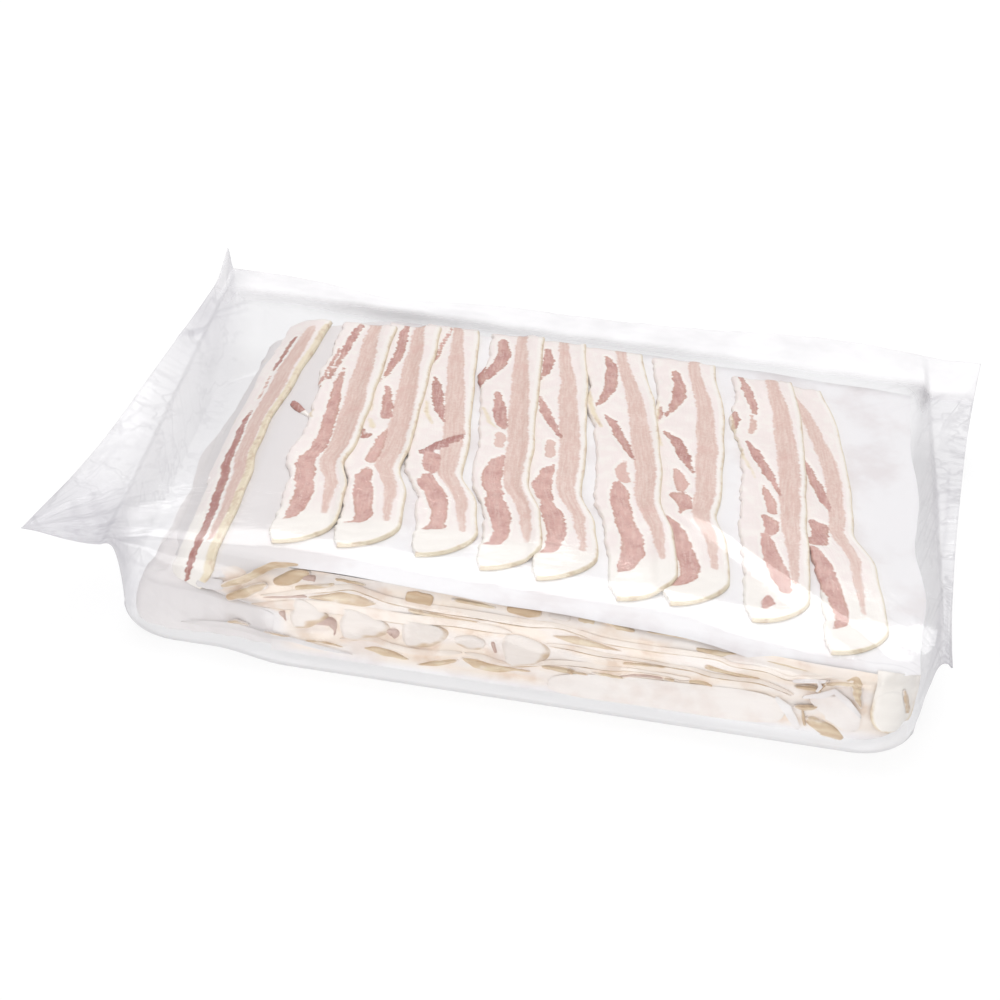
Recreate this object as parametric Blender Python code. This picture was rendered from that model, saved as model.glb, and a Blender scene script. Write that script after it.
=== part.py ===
"""Catering pack of sliced bacon in a clear film bag, lying flat.

The pack is one closed solid: a loose film tube drawn over a stack of layered
sheets, with a welded seal across each end. Its outer form is two panels of
film. The top panel runs from a fold along the stack's front top edge, over
the slices, to a loose fold behind them. The bottom panel hangs from the same
two folds, round the stack's front, floor and back. Past the stack's ends the
panels close up into the two flat seal flanges.

Frame: +X along the pack from the wide flange to the narrow one, +Y from the
front fold to the back fold, +Z up, origin at the middle of the base.
"""

import math

import bmesh
import bpy
from mathutils import Vector

# The stack of sheets and slices, in metres, and where its middle stands.
STACK_LENGTH = 0.500
STACK_DEPTH = 0.300
STACK_HEIGHT = 0.062
STACK_CENTRE = (0.012, -0.0313)

# How far the film stands clear of the stack, and the bag's foot on the floor.
FILM_RISE = 0.004
END_CLEARANCE = (0.017, 0.010)
FOOT_FRONT = 0.019
FOOT_BACK = 0.012
FOOT_CORNER = 0.040
RIM_RUN = 0.006
RIM_HEIGHT = 0.0035

# The two folds that run the length of the bag.
FRONT_FOLD_OUT = 0.001
FRONT_FOLD_HEIGHT = 0.057
FRONT_FOLD_TURN = 0.017
FRONT_FOLD_BACK_IN = 0.028
FRONT_ROLL = 0.040
BACK_FOLD_OUT = 0.062
BACK_FOLD_HEIGHT = 0.058
BACK_FOLD_SWELL = 0.020
BACK_FOLD_PINCH = 0.012

# The flanges: how far each seal stands out from the stack's end at its less
# and its more drawn-out corner, how hollow its line sweeps between them, and
# the heights of its front and back corners.
LEFT_SEAL_OUT = (0.034, 0.081)
LEFT_SEAL_SWEEP = 1.6
RIGHT_SEAL_OUT = (0.017, 0.057)
RIGHT_SEAL_SWEEP = 2.0
LEFT_SEAL_HEIGHT = (0.059, 0.064)
RIGHT_SEAL_HEIGHT = (0.055, 0.060)
FLANGE_ROOT_HEIGHT = 0.057
FLANGE_THICKNESS = 0.0018
FLANGE_WAVE = 0.002
EAR_RISE = 0.013
BELLY_DROP = 0.010
TAB_DROP = 0.008
CREASE_DEPTH = 0.0016
WALL_RIPPLE = 0.0016

# The slices under the top film, whose rows ripple it.
SLICE_COUNT = 10
SLICE_LEAN = 0.12
SLICE_RIPPLE = 0.0009

# Cells of a panel: along the left flange, left wall, body, right wall and
# right flange, and across it from the front fold to the back one.
LENGTH_CELLS = (10, 5, 38, 5, 6)
WALL_RUN = 0.014
RIM_CELLS = 2.0
DEPTH_CELLS = 28
WALL_CELLS = 5

WELD_DISTANCE = 0.00002
FILM_COLOUR = (0.90, 0.89, 0.92, 1.0)
FILM_ROUGHNESS = 0.12


def smooth_step(low, high, value):
    """Returns 0 below low and 1 above high, with a smooth rise between."""
    share = min(max((value - low) / (high - low), 0.0), 1.0)
    return share * share * (3.0 - 2.0 * share)


def blend(first, second, share):
    """Returns the value that lies share of the way from first to second."""
    return first + (second - first) * share


def bump(centre, width, value):
    """Returns a smooth hump of height 1 at centre that fades out over width."""
    return math.exp(-(((value - centre) / width) ** 2))


def left_seal_out(across):
    """Returns how far the left seal stands out, most at its front corner."""
    return blend(*LEFT_SEAL_OUT, (1.0 - across) ** LEFT_SEAL_SWEEP)


def right_seal_out(across):
    """Returns how far the right seal stands out, most at its back corner."""
    return blend(*RIGHT_SEAL_OUT, across**RIGHT_SEAL_SWEEP)


def off_the_rim(index, row):
    """Returns 0 on a panel's outer edge and 1 a few cells in from it."""
    columns = sum(LENGTH_CELLS)
    cells = min(index, columns - index, row, DEPTH_CELLS - row)
    return min(cells / RIM_CELLS, 1.0)


def length_station(index, across):
    """Returns the X of a cell line and how far it is inside the body.

    The lines follow the slanting seals at the two ends and the stack's own
    square ends between them.
    """
    left_wall = -STACK_LENGTH / 2 - END_CLEARANCE[0]
    right_wall = STACK_LENGTH / 2 + END_CLEARANCE[1]
    stops = (
        -STACK_LENGTH / 2 - left_seal_out(across),
        left_wall,
        left_wall + WALL_RUN,
        right_wall - WALL_RUN,
        right_wall,
        STACK_LENGTH / 2 + right_seal_out(across),
    )
    run = 0
    while index > LENGTH_CELLS[run]:
        index -= LENGTH_CELLS[run]
        run += 1
    x = blend(stops[run], stops[run + 1], index / LENGTH_CELLS[run])
    inside_left = smooth_step(stops[1], stops[2], x)
    inside_right = 1.0 - smooth_step(stops[3], stops[4], x)
    return x, min(inside_left, inside_right)


def front_fold_y(x):
    """Returns the Y of the front fold, which turns slightly along the bag."""
    turn = FRONT_FOLD_TURN * smooth_step(-0.20, 0.22, x)
    back_in = FRONT_FOLD_BACK_IN * smooth_step(0.22, 0.265, x)
    return back_in - turn - STACK_DEPTH / 2 - FRONT_FOLD_OUT


def back_fold_y(x):
    """Returns the Y of the back fold, which swells out on the right."""
    swell = BACK_FOLD_SWELL * bump(0.20, 0.11, x)
    pinch = BACK_FOLD_PINCH * bump(-0.15, 0.05, x)
    return STACK_DEPTH / 2 + BACK_FOLD_OUT + swell - pinch


def corner_cut(x):
    """Returns how far the foot's rounded corners draw its sides in at x."""
    side = 0 if x < 0.0 else 1
    straight = STACK_LENGTH / 2 + END_CLEARANCE[side] - FOOT_CORNER
    past = min(max(abs(x) - straight, 0.0), FOOT_CORNER)
    return FOOT_CORNER - math.sqrt(FOOT_CORNER**2 - past**2)


def flange_height(x, across):
    """Returns the height of the closed film past the stack's ends."""
    if x < 0.0:
        seal = blend(*LEFT_SEAL_HEIGHT, across) + EAR_RISE * smooth_step(0.90, 1.0, across)
        root, outer = END_CLEARANCE[0], left_seal_out(across)
    else:
        seal = blend(*RIGHT_SEAL_HEIGHT, across)
        root, outer = END_CLEARANCE[1], right_seal_out(across)
    share = smooth_step(root, outer, abs(x) - STACK_LENGTH / 2)
    wave = FLANGE_WAVE * math.sin(9.0 * across + 14.0 * x)
    return blend(FLANGE_ROOT_HEIGHT, seal, share) + wave * share


def top_of_body(x, y):
    """Returns the height of the top film over the stack and its back fold."""
    front = front_fold_y(x)
    behind = smooth_step(STACK_DEPTH / 2, back_fold_y(x), y)
    roll = math.sqrt(smooth_step(front, front + FRONT_ROLL, y))
    height = blend(FRONT_FOLD_HEIGHT, STACK_HEIGHT + FILM_RISE, roll)
    height = blend(height, BACK_FOLD_HEIGHT, behind)
    pitch = STACK_LENGTH / SLICE_COUNT
    phase = 2.0 * math.pi * (x + SLICE_LEAN * x * y / STACK_DEPTH) / pitch
    over_slices = smooth_step(front + 0.03, front + 0.07, y) * (1.0 - behind)
    return height + SLICE_RIPPLE * math.sin(phase) * over_slices


def top_crease(x, y):
    """Returns the tension creases that fan out from the bag's corners."""
    left = -STACK_LENGTH / 2
    right = STACK_LENGTH / 2
    front = -STACK_DEPTH / 2
    back = STACK_DEPTH / 2 + BACK_FOLD_OUT
    corners = (
        (left - LEFT_SEAL_OUT[1], front),
        (left - LEFT_SEAL_OUT[0], back),
        (right + RIGHT_SEAL_OUT[1], back),
        (right + RIGHT_SEAL_OUT[0], front),
    )
    total = 0.0
    for corner_x, corner_y in corners:
        away = math.hypot(x - corner_x, y - corner_y)
        turn = math.atan2(y - corner_y, x - corner_x)
        total += math.cos(7.0 * turn) * bump(0.05, 0.035, away)
    return CREASE_DEPTH * total


def top_panel(index, row):
    """Returns a point of the top film.

    index counts cell lines from the left seal, row from the front fold.
    """
    across = row / DEPTH_CELLS
    x, inside = length_station(index, across)
    y = blend(front_fold_y(x), back_fold_y(x), across)
    z = blend(flange_height(x, across), top_of_body(x, y), inside)
    lift = FLANGE_THICKNESS / 2 + top_crease(x, y)
    return Vector((x, y, z + lift * off_the_rim(index, row)))


def bottom_of_body(x, row):
    """Returns the Y and Z of the bottom film round the stack's foot."""
    foot_front = corner_cut(x) - STACK_DEPTH / 2 - FOOT_FRONT
    foot_back = STACK_DEPTH / 2 + FOOT_BACK - corner_cut(x)
    if WALL_CELLS < row < DEPTH_CELLS - WALL_CELLS:
        floor_cells = DEPTH_CELLS - 2 * WALL_CELLS - 2
        share = (row - WALL_CELLS - 1) / floor_cells
        return blend(foot_front + RIM_RUN, foot_back - RIM_RUN, share), 0.0
    if row <= WALL_CELLS:
        share = row / WALL_CELLS
        fold, foot, fold_height = front_fold_y(x), foot_front, FRONT_FOLD_HEIGHT
    else:
        share = (DEPTH_CELLS - row) / WALL_CELLS
        fold, foot, fold_height = back_fold_y(x), foot_back, BACK_FOLD_HEIGHT
    ripple = WALL_RIPPLE * math.sin(math.pi * share) * math.sin(58.0 * x + 7.0 * share)
    return blend(fold, foot, share) + ripple, blend(fold_height, RIM_HEIGHT, share)


def bottom_panel(index, row):
    """Returns a point of the bottom film, numbered as in top_panel."""
    across = row / DEPTH_CELLS
    x, inside = length_station(index, across)
    flat_y = blend(front_fold_y(x), back_fold_y(x), across)
    belly = BELLY_DROP * bump(-0.292, 0.022, x) * bump(0.10, 0.12, across)
    tab = TAB_DROP * bump(STACK_LENGTH / 2 + RIGHT_SEAL_OUT[0], 0.02, x) * bump(0.05, 0.10, across)
    drop = FLANGE_THICKNESS / 2 + belly + tab - top_crease(x, flat_y)
    closed = flange_height(x, across) - drop * off_the_rim(index, row)
    body_y, body_z = bottom_of_body(x, row)
    return Vector((x, blend(flat_y, body_y, inside), blend(closed, body_z, inside)))


def lay_panel(shape, place):
    """Adds one open film panel to shape, each grid point put where place says.

    Returns the panel's vertices.
    """
    columns = sum(LENGTH_CELLS)
    made = bmesh.ops.create_grid(shape, x_segments=columns, y_segments=DEPTH_CELLS, size=0.5)
    for vert in made["verts"]:
        index = round((vert.co.x + 0.5) * columns)
        row = round((vert.co.y + 0.5) * DEPTH_CELLS)
        vert.co = place(index, row)
    return made["verts"]


def soften(shape, verts):
    """Rounds the bag's edges, and leaves the flat foot on the floor."""
    loose = [vert for vert in verts if vert.co.z > 0.0 and not vert.is_boundary]
    for _ in range(2):
        bmesh.ops.smooth_vert(
            shape, verts=loose, factor=0.35, use_axis_x=True, use_axis_y=True, use_axis_z=True
        )


def bag_mesh():
    """Returns the mesh of the whole bag, a closed solid that rests on Z = 0.

    The two panels meet all round, along the folds and the seals.
    """
    shape = bmesh.new()
    soften(shape, lay_panel(shape, bottom_panel))
    bmesh.ops.reverse_faces(shape, faces=shape.faces)
    soften(shape, lay_panel(shape, top_panel))
    bmesh.ops.remove_doubles(shape, verts=shape.verts, dist=WELD_DISTANCE)
    shift = Vector((STACK_CENTRE[0], STACK_CENTRE[1], 0.0))
    bmesh.ops.translate(shape, verts=shape.verts, vec=shift)
    mesh = bpy.data.meshes.new("bag")
    shape.to_mesh(mesh)
    shape.free()
    mesh.shade_smooth()
    return mesh


def film_material():
    """Returns the clear film's material."""
    material = bpy.data.materials.new("film")
    material.use_nodes = True
    shader = material.node_tree.nodes["Principled BSDF"]
    shader.inputs["Base Color"].default_value = FILM_COLOUR
    shader.inputs["Roughness"].default_value = FILM_ROUGHNESS
    shader.inputs["Metallic"].default_value = 0.0
    return material


def main():
    """Empties the scene and builds the bag in a collection of its own."""
    for item in list(bpy.data.objects):
        bpy.data.objects.remove(item)
    collection = bpy.data.collections.new("bacon_pack")
    bpy.context.scene.collection.children.link(collection)
    bag = bpy.data.objects.new("bag", bag_mesh())
    bag.data.materials.append(film_material())
    collection.objects.link(bag)


main()
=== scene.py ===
"""Looks of the catering bacon pack: a clear film bag round a stack of laid sheets.

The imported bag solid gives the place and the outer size. It is replaced here by
a thin clear film bag, seven greaseproof sheets, ten slices on the top sheet,
the slices on the sheets below it, and the sheet edges and slice ends that
crowd the stack's front.

Lengths are metres in stack axes: the middle of the stack is the origin, the
floor is at 0, +X runs to the narrow seal, +Y to the loose back fold. Every
mesh is shifted once, at the end of its making, to where the bag stands.
"""

import logging
import math
from dataclasses import dataclass, field
from enum import Enum
from typing import Callable

import bmesh
import bpy
from mathutils import Matrix, Vector, noise


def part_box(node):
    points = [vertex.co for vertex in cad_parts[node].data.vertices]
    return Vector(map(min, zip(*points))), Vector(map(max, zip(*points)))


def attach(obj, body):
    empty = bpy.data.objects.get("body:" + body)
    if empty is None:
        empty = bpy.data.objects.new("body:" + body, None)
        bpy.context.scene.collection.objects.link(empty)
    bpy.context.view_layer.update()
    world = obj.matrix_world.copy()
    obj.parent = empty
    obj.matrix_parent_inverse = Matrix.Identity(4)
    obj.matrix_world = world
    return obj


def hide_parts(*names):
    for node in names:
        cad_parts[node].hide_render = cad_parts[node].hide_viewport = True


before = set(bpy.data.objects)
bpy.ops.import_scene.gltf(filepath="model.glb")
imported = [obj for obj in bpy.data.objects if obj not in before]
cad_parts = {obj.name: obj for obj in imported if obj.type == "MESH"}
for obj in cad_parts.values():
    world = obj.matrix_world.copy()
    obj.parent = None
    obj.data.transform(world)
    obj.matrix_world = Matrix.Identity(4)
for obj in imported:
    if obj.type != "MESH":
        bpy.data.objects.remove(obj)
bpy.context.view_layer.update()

LOG = logging.getLogger("bacon_pack")
BODY = "root"
BAG_NODE = "bag"

STACK_LENGTH = 0.500
STACK_DEPTH = 0.300
MM = 0.001
# How far a slice's underside is over the middle of its sheet.
ON_SHEET = 0.0003
# The depth, in millimetres, of a place well outside every streak.
OUTSIDE = -20.0

Pair = tuple[float, float]
Colour = tuple[float, float, float, float]
Socket = bpy.types.NodeSocket


class Slot(Enum):
    """The record's material slots."""

    FILM = "film"
    SHEET = "sheet"
    SLICE = "slice"


def ease(low: float, high: float, value: float) -> float:
    """Gives a smooth rise between two limits.

    Args:
        low: Where the rise starts. It may be above high, for a fall.
        high: Where the rise ends.
        value: Where the rise is read.

    Returns:
        0 before low and 1 past high.
    """
    share = min(max((value - low) / (high - low), 0.0), 1.0)
    return share * share * (3.0 - 2.0 * share)


def blend(first: float, second: float, share: float) -> float:
    """Returns the value that lies share of the way from first to second."""
    return first + (second - first) * share


def bump(centre: float, width: float, value: float) -> float:
    """Returns a hump of height 1 at centre that fades out over width."""
    return math.exp(-(((value - centre) / width) ** 2))


def wander(seed: float, value: float, pitch: float) -> float:
    """Gives a smooth random wave.

    Args:
        seed: Number that tells one wave from another.
        value: Where the wave is read.
        pitch: About the distance between its crests.

    Returns:
        A height between about -1 and 1.
    """
    return 1.6 * noise.noise(Vector((value / pitch * 1.7, seed * 3.71 + 0.37, seed * 1.93)))


def mottle(seed: float, x: float, y: float, pitch: float) -> float:
    """Returns a smooth random height between about -1 and 1 at a point of a plane."""
    return 1.5 * noise.noise(Vector((x / pitch, y / pitch, seed * 2.37 + 0.21)))


def crumple(seed: float, x: float, y: float, pitch: float) -> float:
    """Returns sharp-crested random creases, 1 on a crest and about 0 between."""
    return 1.0 - min(abs(mottle(seed, x, y, pitch)) * 2.2, 1.0)


def through(stations: tuple[Pair, ...], value: float) -> float:
    """Reads a smooth curve through a few stations.

    Args:
        stations: Pairs of place and height, in rising or falling order of place.
        value: The place at which the curve is read.

    Returns:
        The curve's height, held level past its ends.
    """
    rising = stations if stations[0][0] < stations[-1][0] else stations[::-1]
    if value <= rising[0][0]:
        return rising[0][1]
    for (low, start), (high, end) in zip(rising, rising[1:]):
        if value <= high:
            return blend(start, end, ease(low, high, value))
    return rising[-1][1]


def on_rim(along: float, across: float) -> bool:
    """Tells whether a place is on a slab's rim, where its two faces meet."""
    return along in (0.0, 1.0) or across in (0.0, 1.0)


@dataclass(frozen=True)
class Datum:
    """Where the middle of the stack stands in the row frame."""

    seal_reach: float = 0.081
    fold_reach: float = 0.082

    def shift(self) -> Vector:
        """Returns the move from stack axes to the row frame."""
        low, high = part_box(BAG_NODE)
        x = low.x + self.seal_reach + STACK_LENGTH / 2
        y = high.y - self.fold_reach - STACK_DEPTH / 2
        return Vector((x, y, low.z))


@dataclass(frozen=True)
class SlabPoint:
    """The two faces of a thin slab at one place, and the marks it carries there."""

    top: Vector
    under: Vector
    marks: dict[str, float] = field(default_factory=dict)


@dataclass
class Piece:
    """One finished piece: its mesh in the making, and how it is dressed."""

    name: str
    slot: Slot
    shape: bmesh.types.BMesh = field(default_factory=bmesh.new)
    rim_angle: float = 1.9

    def attribute(self, name: str) -> bmesh.types.BMLayerItem:
        """Returns the float layer of that name on the piece's points."""
        layers = self.shape.verts.layers.float
        return layers.get(name) or layers.new(name)

    def lay_slab(
        self,
        columns: int,
        rows: int,
        place: Callable[[float, float], SlabPoint],
        weld: float = 0.00002,
        crisp: bool = False,
    ) -> list[bmesh.types.BMVert]:
        """Lays a thin closed slab from two grids that meet round their rim.

        Args:
            columns: Cells along the slab.
            rows: Cells across it.
            place: Gives both faces and the marks of a point, from its shares
                along and across.
            weld: How near two points are to be joined.
            crisp: Whether the rim is shaded as a sharp edge.

        Returns:
            The slab's points.
        """
        known: dict[tuple[int, int], SlabPoint] = {}
        layers = {name: self.attribute(name) for name in place(0.5, 0.5).marks}
        laid = []
        for under in (True, False):
            grid = bmesh.ops.create_grid(
                self.shape, x_segments=columns, y_segments=rows, size=0.5
            )["verts"]
            for vert in grid:
                key = (round((vert.co.x + 0.5) * columns), round((vert.co.y + 0.5) * rows))
                if key not in known:
                    known[key] = place(key[0] / columns, key[1] / rows)
                point = known[key]
                for name, value in point.marks.items():
                    vert[layers[name]] = value
                vert.co = point.under if under else point.top
            if under:
                faces = list({face for vert in grid for face in vert.link_faces})
                bmesh.ops.reverse_faces(self.shape, faces=faces)
            laid += grid
        bmesh.ops.remove_doubles(self.shape, verts=laid, dist=weld)
        laid = [vert for vert in laid if vert.is_valid]
        if crisp:
            for edge in {edge for vert in laid for edge in vert.link_edges}:
                if len(edge.link_faces) == 2 and edge.calc_face_angle(0.0) > self.rim_angle:
                    edge.smooth = False
        return laid

    def finish(self, material: bpy.types.Material) -> bpy.types.Object:
        """Moves the mesh to its place, dresses it and hangs it on the body.

        Args:
            material: The finish of the whole piece.

        Returns:
            The finished object, at the origin.
        """
        bmesh.ops.translate(self.shape, verts=self.shape.verts, vec=Datum().shift())
        mesh = bpy.data.meshes.new(self.name)
        self.shape.to_mesh(mesh)
        self.shape.free()
        mesh.shade_smooth()
        mesh.materials.append(material)
        item = bpy.data.objects.new(self.name, mesh)
        bpy.context.scene.collection.objects.link(item)
        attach(item, BODY)
        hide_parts(BAG_NODE)
        LOG.info("%s: %d faces", self.name, len(mesh.polygons))
        return item


class NodeBench:
    """Short ways to add and join the shader nodes of one material."""

    def __init__(self, name: str) -> None:
        """Starts an empty material.

        Args:
            name: The material's name.
        """
        self.material = bpy.data.materials.new(name)
        self.material.use_nodes = True
        self.tree = self.material.node_tree
        self.tree.nodes.clear()

    def join(self, source: object, target: object) -> None:
        """Links source to target, or sets target to it where it is a plain value."""
        if isinstance(source, Socket):
            self.tree.links.new(source, target)
        else:
            target.default_value = source

    def add(
        self, kind: str, inputs: dict[object, object], output: object = 0, **settings: object
    ) -> Socket:
        """Adds a node.

        Args:
            kind: The node's type without the ShaderNode prefix.
            inputs: A value or a socket for each input, by its name or number.
            output: The name or number of the output that is wanted.
            **settings: The node's own properties.

        Returns:
            That output.
        """
        node = self.tree.nodes.new("ShaderNode" + kind)
        for name, value in settings.items():
            setattr(node, name, value)
        for name, value in inputs.items():
            self.join(value, node.inputs[name])
        return node.outputs[output]

    def attribute(self, name: str) -> Socket:
        """Returns the value of a float attribute of the mesh."""
        return self.add("Attribute", {}, "Fac", attribute_name=name)

    def place(self) -> Socket:
        """Returns the point's place on the piece."""
        return self.add("TexCoord", {}, "Object")

    def x_of(self, vector: Socket) -> Socket:
        """Returns a vector's first value."""
        return self.add("SeparateXYZ", {0: vector})

    def stretch(self, x: object, y: object, z: object = 0.0) -> Socket:
        """Returns the vector of three values."""
        return self.add("CombineXYZ", {0: x, 1: y, 2: z})

    def math(self, operation: str, *values: object) -> Socket:
        """Returns what a Math node makes of one to three values."""
        return self.add("Math", dict(enumerate(values)), operation=operation)

    def mix(self, share: object, first: object, second: object, mode: str = "MIX") -> Socket:
        """Returns the first colour with a share of the second laid over it in that mode."""
        inputs = {"Factor": share, 6: first, 7: second}
        return self.add("Mix", inputs, 2, data_type="RGBA", blend_type=mode)

    def blend_shaders(self, share: object, first: Socket, second: Socket) -> Socket:
        """Returns the first shader with a share of the second."""
        return self.add("MixShader", {0: share, 1: first, 2: second})

    def bump(self, height: object, strength: float, distance: float) -> Socket:
        """Returns the normal of a relief that is that deep, in metres."""
        return self.add(
            "Bump", {"Strength": strength, "Distance": distance, "Height": height}, "Normal"
        )

    def fit(
        self, value: object, low: float, high: float, start: float = 0.0, end: float = 1.0
    ) -> Socket:
        """Maps a value smoothly from one range to another.

        Args:
            value: What is mapped.
            low: Where the range starts.
            high: Where it ends.
            start: The result at low.
            end: The result at high.

        Returns:
            The mapped value.
        """
        inputs = {"Value": value, "From Min": low, "From Max": high, "To Min": start, "To Max": end}
        return self.add("MapRange", inputs, interpolation_type="SMOOTHSTEP")

    def noise(
        self, vector: Socket, scale: float, detail: float = 3.0, roughness: float = 0.5
    ) -> Socket:
        """Gives a soft random value.

        Args:
            vector: Where it is read.
            scale: Cells to the metre.
            detail: How many finer layers it has.
            roughness: How strong they are.

        Returns:
            A value from 0 to 1.
        """
        inputs = {"Vector": vector, "Scale": scale, "Detail": detail, "Roughness": roughness}
        return self.add("TexNoise", inputs, "Fac")

    def output(self, shader: Socket) -> bpy.types.Material:
        """Joins the shader to the surface and returns the material."""
        self.join(shader, self.tree.nodes.new("ShaderNodeOutputMaterial").inputs["Surface"])
        return self.material


@dataclass(frozen=True)
class FilmFinish:
    """Thin clear film, greyer where it is seen edge on, with painted shade on its flanges, folds and
    creases, and a white haze that is partly painted glare.
    """

    clear: Colour = (0.988, 0.986, 0.990, 1.0)
    edge_on: Colour = (0.66, 0.65, 0.67, 1.0)
    shade_grey: Colour = (0.855, 0.850, 0.866, 1.0)
    crease_shade: Colour = (0.66, 0.65, 0.67, 1.0)
    haze_and_glare: Colour = (0.93, 0.92, 0.93, 1.0)
    shine: Colour = (1.0, 1.0, 1.0, 1.0)
    head_on_gloss: float = 0.048
    gloss_roughness: float = 0.13
    least_haze: float = 0.015
    line_width: float = 0.028

    def crease_shade_lines(self, bench: NodeBench) -> Socket:
        """Gives thin lines of painted shade along the film's creases.

        Args:
            bench: The film's bench.

        Returns:
            1 on a crease and 0 beside it.
        """
        fan = bench.stretch(
            bench.math("MULTIPLY", bench.attribute("fan_turn"), 4.6),
            bench.math("MULTIPLY", bench.attribute("fan_away"), 9.0),
        )
        ray = bench.noise(fan, 1.0, 2.0, 0.55)
        cross = bench.noise(
            bench.stretch(
                bench.math("MULTIPLY", bench.attribute("seal_away"), 18.0),
                bench.math("MULTIPLY", bench.attribute("seal_run"), 75.0),
            ),
            1.0, 2.0, 0.5,
        )
        net = bench.noise(bench.place(), 24.0, 3.0, 0.55)
        slack = bench.math("MULTIPLY", bench.attribute("dull"), 0.22)
        lines = 0.0
        pull, seal = bench.attribute("pull"), bench.attribute("seal")
        for wave, mask, wide in ((ray, pull, 1.0), (cross, seal, 1.0), (net, slack, 0.9)):
            off = bench.math("ABSOLUTE", bench.math("SUBTRACT", wave, 0.5))
            line = bench.fit(off, 0.0, self.line_width * wide, 1.0, 0.0)
            lines = bench.math("MAXIMUM", lines, bench.math("MULTIPLY", line, mask))
        return lines

    def material(self) -> bpy.types.Material:
        """Returns the film's material."""
        bench = NodeBench("film")
        turned = bench.add("LayerWeight", {"Blend": 0.5}, "Facing")
        steep = bench.math("POWER", turned, 4.0)
        lines = self.crease_shade_lines(bench)
        # Painted shade: a grey tint laid on the film's flanges, left front corner, foot and pressed folds.
        painted_shade = bench.attribute("painted_shade")
        cloud = bench.noise(bench.place(), 16.0, 3.0, 0.55)
        grey = bench.math("MULTIPLY", painted_shade, bench.fit(cloud, 0.30, 0.70, 0.55, 1.25))
        dull = bench.attribute("dull")
        fresh = bench.fit(dull, 0.0, 1.0, 1.0, 0.55)
        dark = bench.math("MULTIPLY", bench.math("POWER", turned, 2.2), fresh)
        tint = bench.mix(dark, self.clear, self.edge_on)
        tint = bench.mix(grey, tint, self.shade_grey, "MULTIPLY")
        # Painted shade: thin dark lines along the creases, where the film bends light away.
        tint = bench.mix(lines, tint, self.crease_shade, "MULTIPLY")
        clear = bench.add("BsdfTransparent", {"Color": tint})
        fine = bench.noise(bench.place(), 130.0, 4.0, 0.6)
        broad = bench.noise(bench.place(), 28.0, 3.0, 0.55)
        normal = bench.bump(bench.math("ADD", fine, broad), 0.30, 0.0006)
        gloss = bench.add(
            "BsdfAnisotropic",
            {"Color": self.shine, "Roughness": self.gloss_roughness, "Normal": normal},
        )
        shine = bench.math("MULTIPLY_ADD", steep, 0.85, self.head_on_gloss)
        shine = bench.math("MULTIPLY", shine, bench.fit(dull, 0.0, 1.0, 1.0, 0.30))
        glazed = bench.blend_shaders(shine, clear, gloss)
        # A white haze: partly real haze of the film, partly painted glare where the film tents up at the
        # back.
        haze_glare_shader = bench.add("BsdfDiffuse", {"Color": self.haze_and_glare})
        patchy = bench.fit(cloud, 0.25, 0.75, 0.85, 1.1)
        haze_glare_share = bench.math("MULTIPLY_ADD", bench.attribute("haze_and_glare"), patchy, self.least_haze)
        return bench.output(bench.blend_shaders(haze_glare_share, glazed, haze_glare_shader))


@dataclass(frozen=True)
class SheetFinish:
    """Greaseproof paper: matt, faintly mottled where the fat has soaked in, and greasy tan where fat is
    pressed on it, partly painted shade in the front's folds.
    """

    dry: Colour = (0.93, 0.92, 0.925, 1.0)
    soaked: Colour = (0.84, 0.80, 0.80, 1.0)
    shaded: Colour = (0.79, 0.755, 0.745, 1.0)
    greasy: Colour = (0.96, 0.85, 0.74, 1.0)
    meaty: Colour = (0.84, 0.66, 0.52, 1.0)
    stain: Colour = (0.86, 0.76, 0.60, 1.0)
    roughness: float = 0.55

    def material(self) -> bpy.types.Material:
        """Returns the paper's material."""
        bench = NodeBench("sheet")
        place = bench.place()
        cloud = bench.fit(bench.noise(place, 22.0, 4.0, 0.6), 0.42, 0.68)
        left = bench.fit(bench.x_of(place), -0.10, -0.17, 0.0, 0.9)
        colour = bench.mix(cloud, self.dry, self.soaked)
        colour = bench.mix(left, colour, self.shaded)
        # Greasy tan tint: real fat on the paper, and on the front's folded paper partly painted shade.
        grease_and_shade = bench.attribute("grease_and_shade")
        patch = bench.fit(bench.noise(place, 55.0, 3.0, 0.55), 0.44, 0.70)
        meat = bench.mix(patch, self.greasy, self.meaty)
        colour = bench.mix(grease_and_shade, colour, meat)
        speck = bench.fit(bench.noise(place, 34.0, 2.0, 0.5), 0.70, 0.80, 0.0, 0.5)
        colour = bench.mix(speck, colour, self.stain)
        normal = bench.bump(bench.noise(place, 90.0, 5.0, 0.65), 0.4, 0.0005)
        looks = {"Base Color": colour, "Roughness": self.roughness, "Normal": normal}
        return bench.output(bench.add("BsdfPrincipled", looks))


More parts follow.
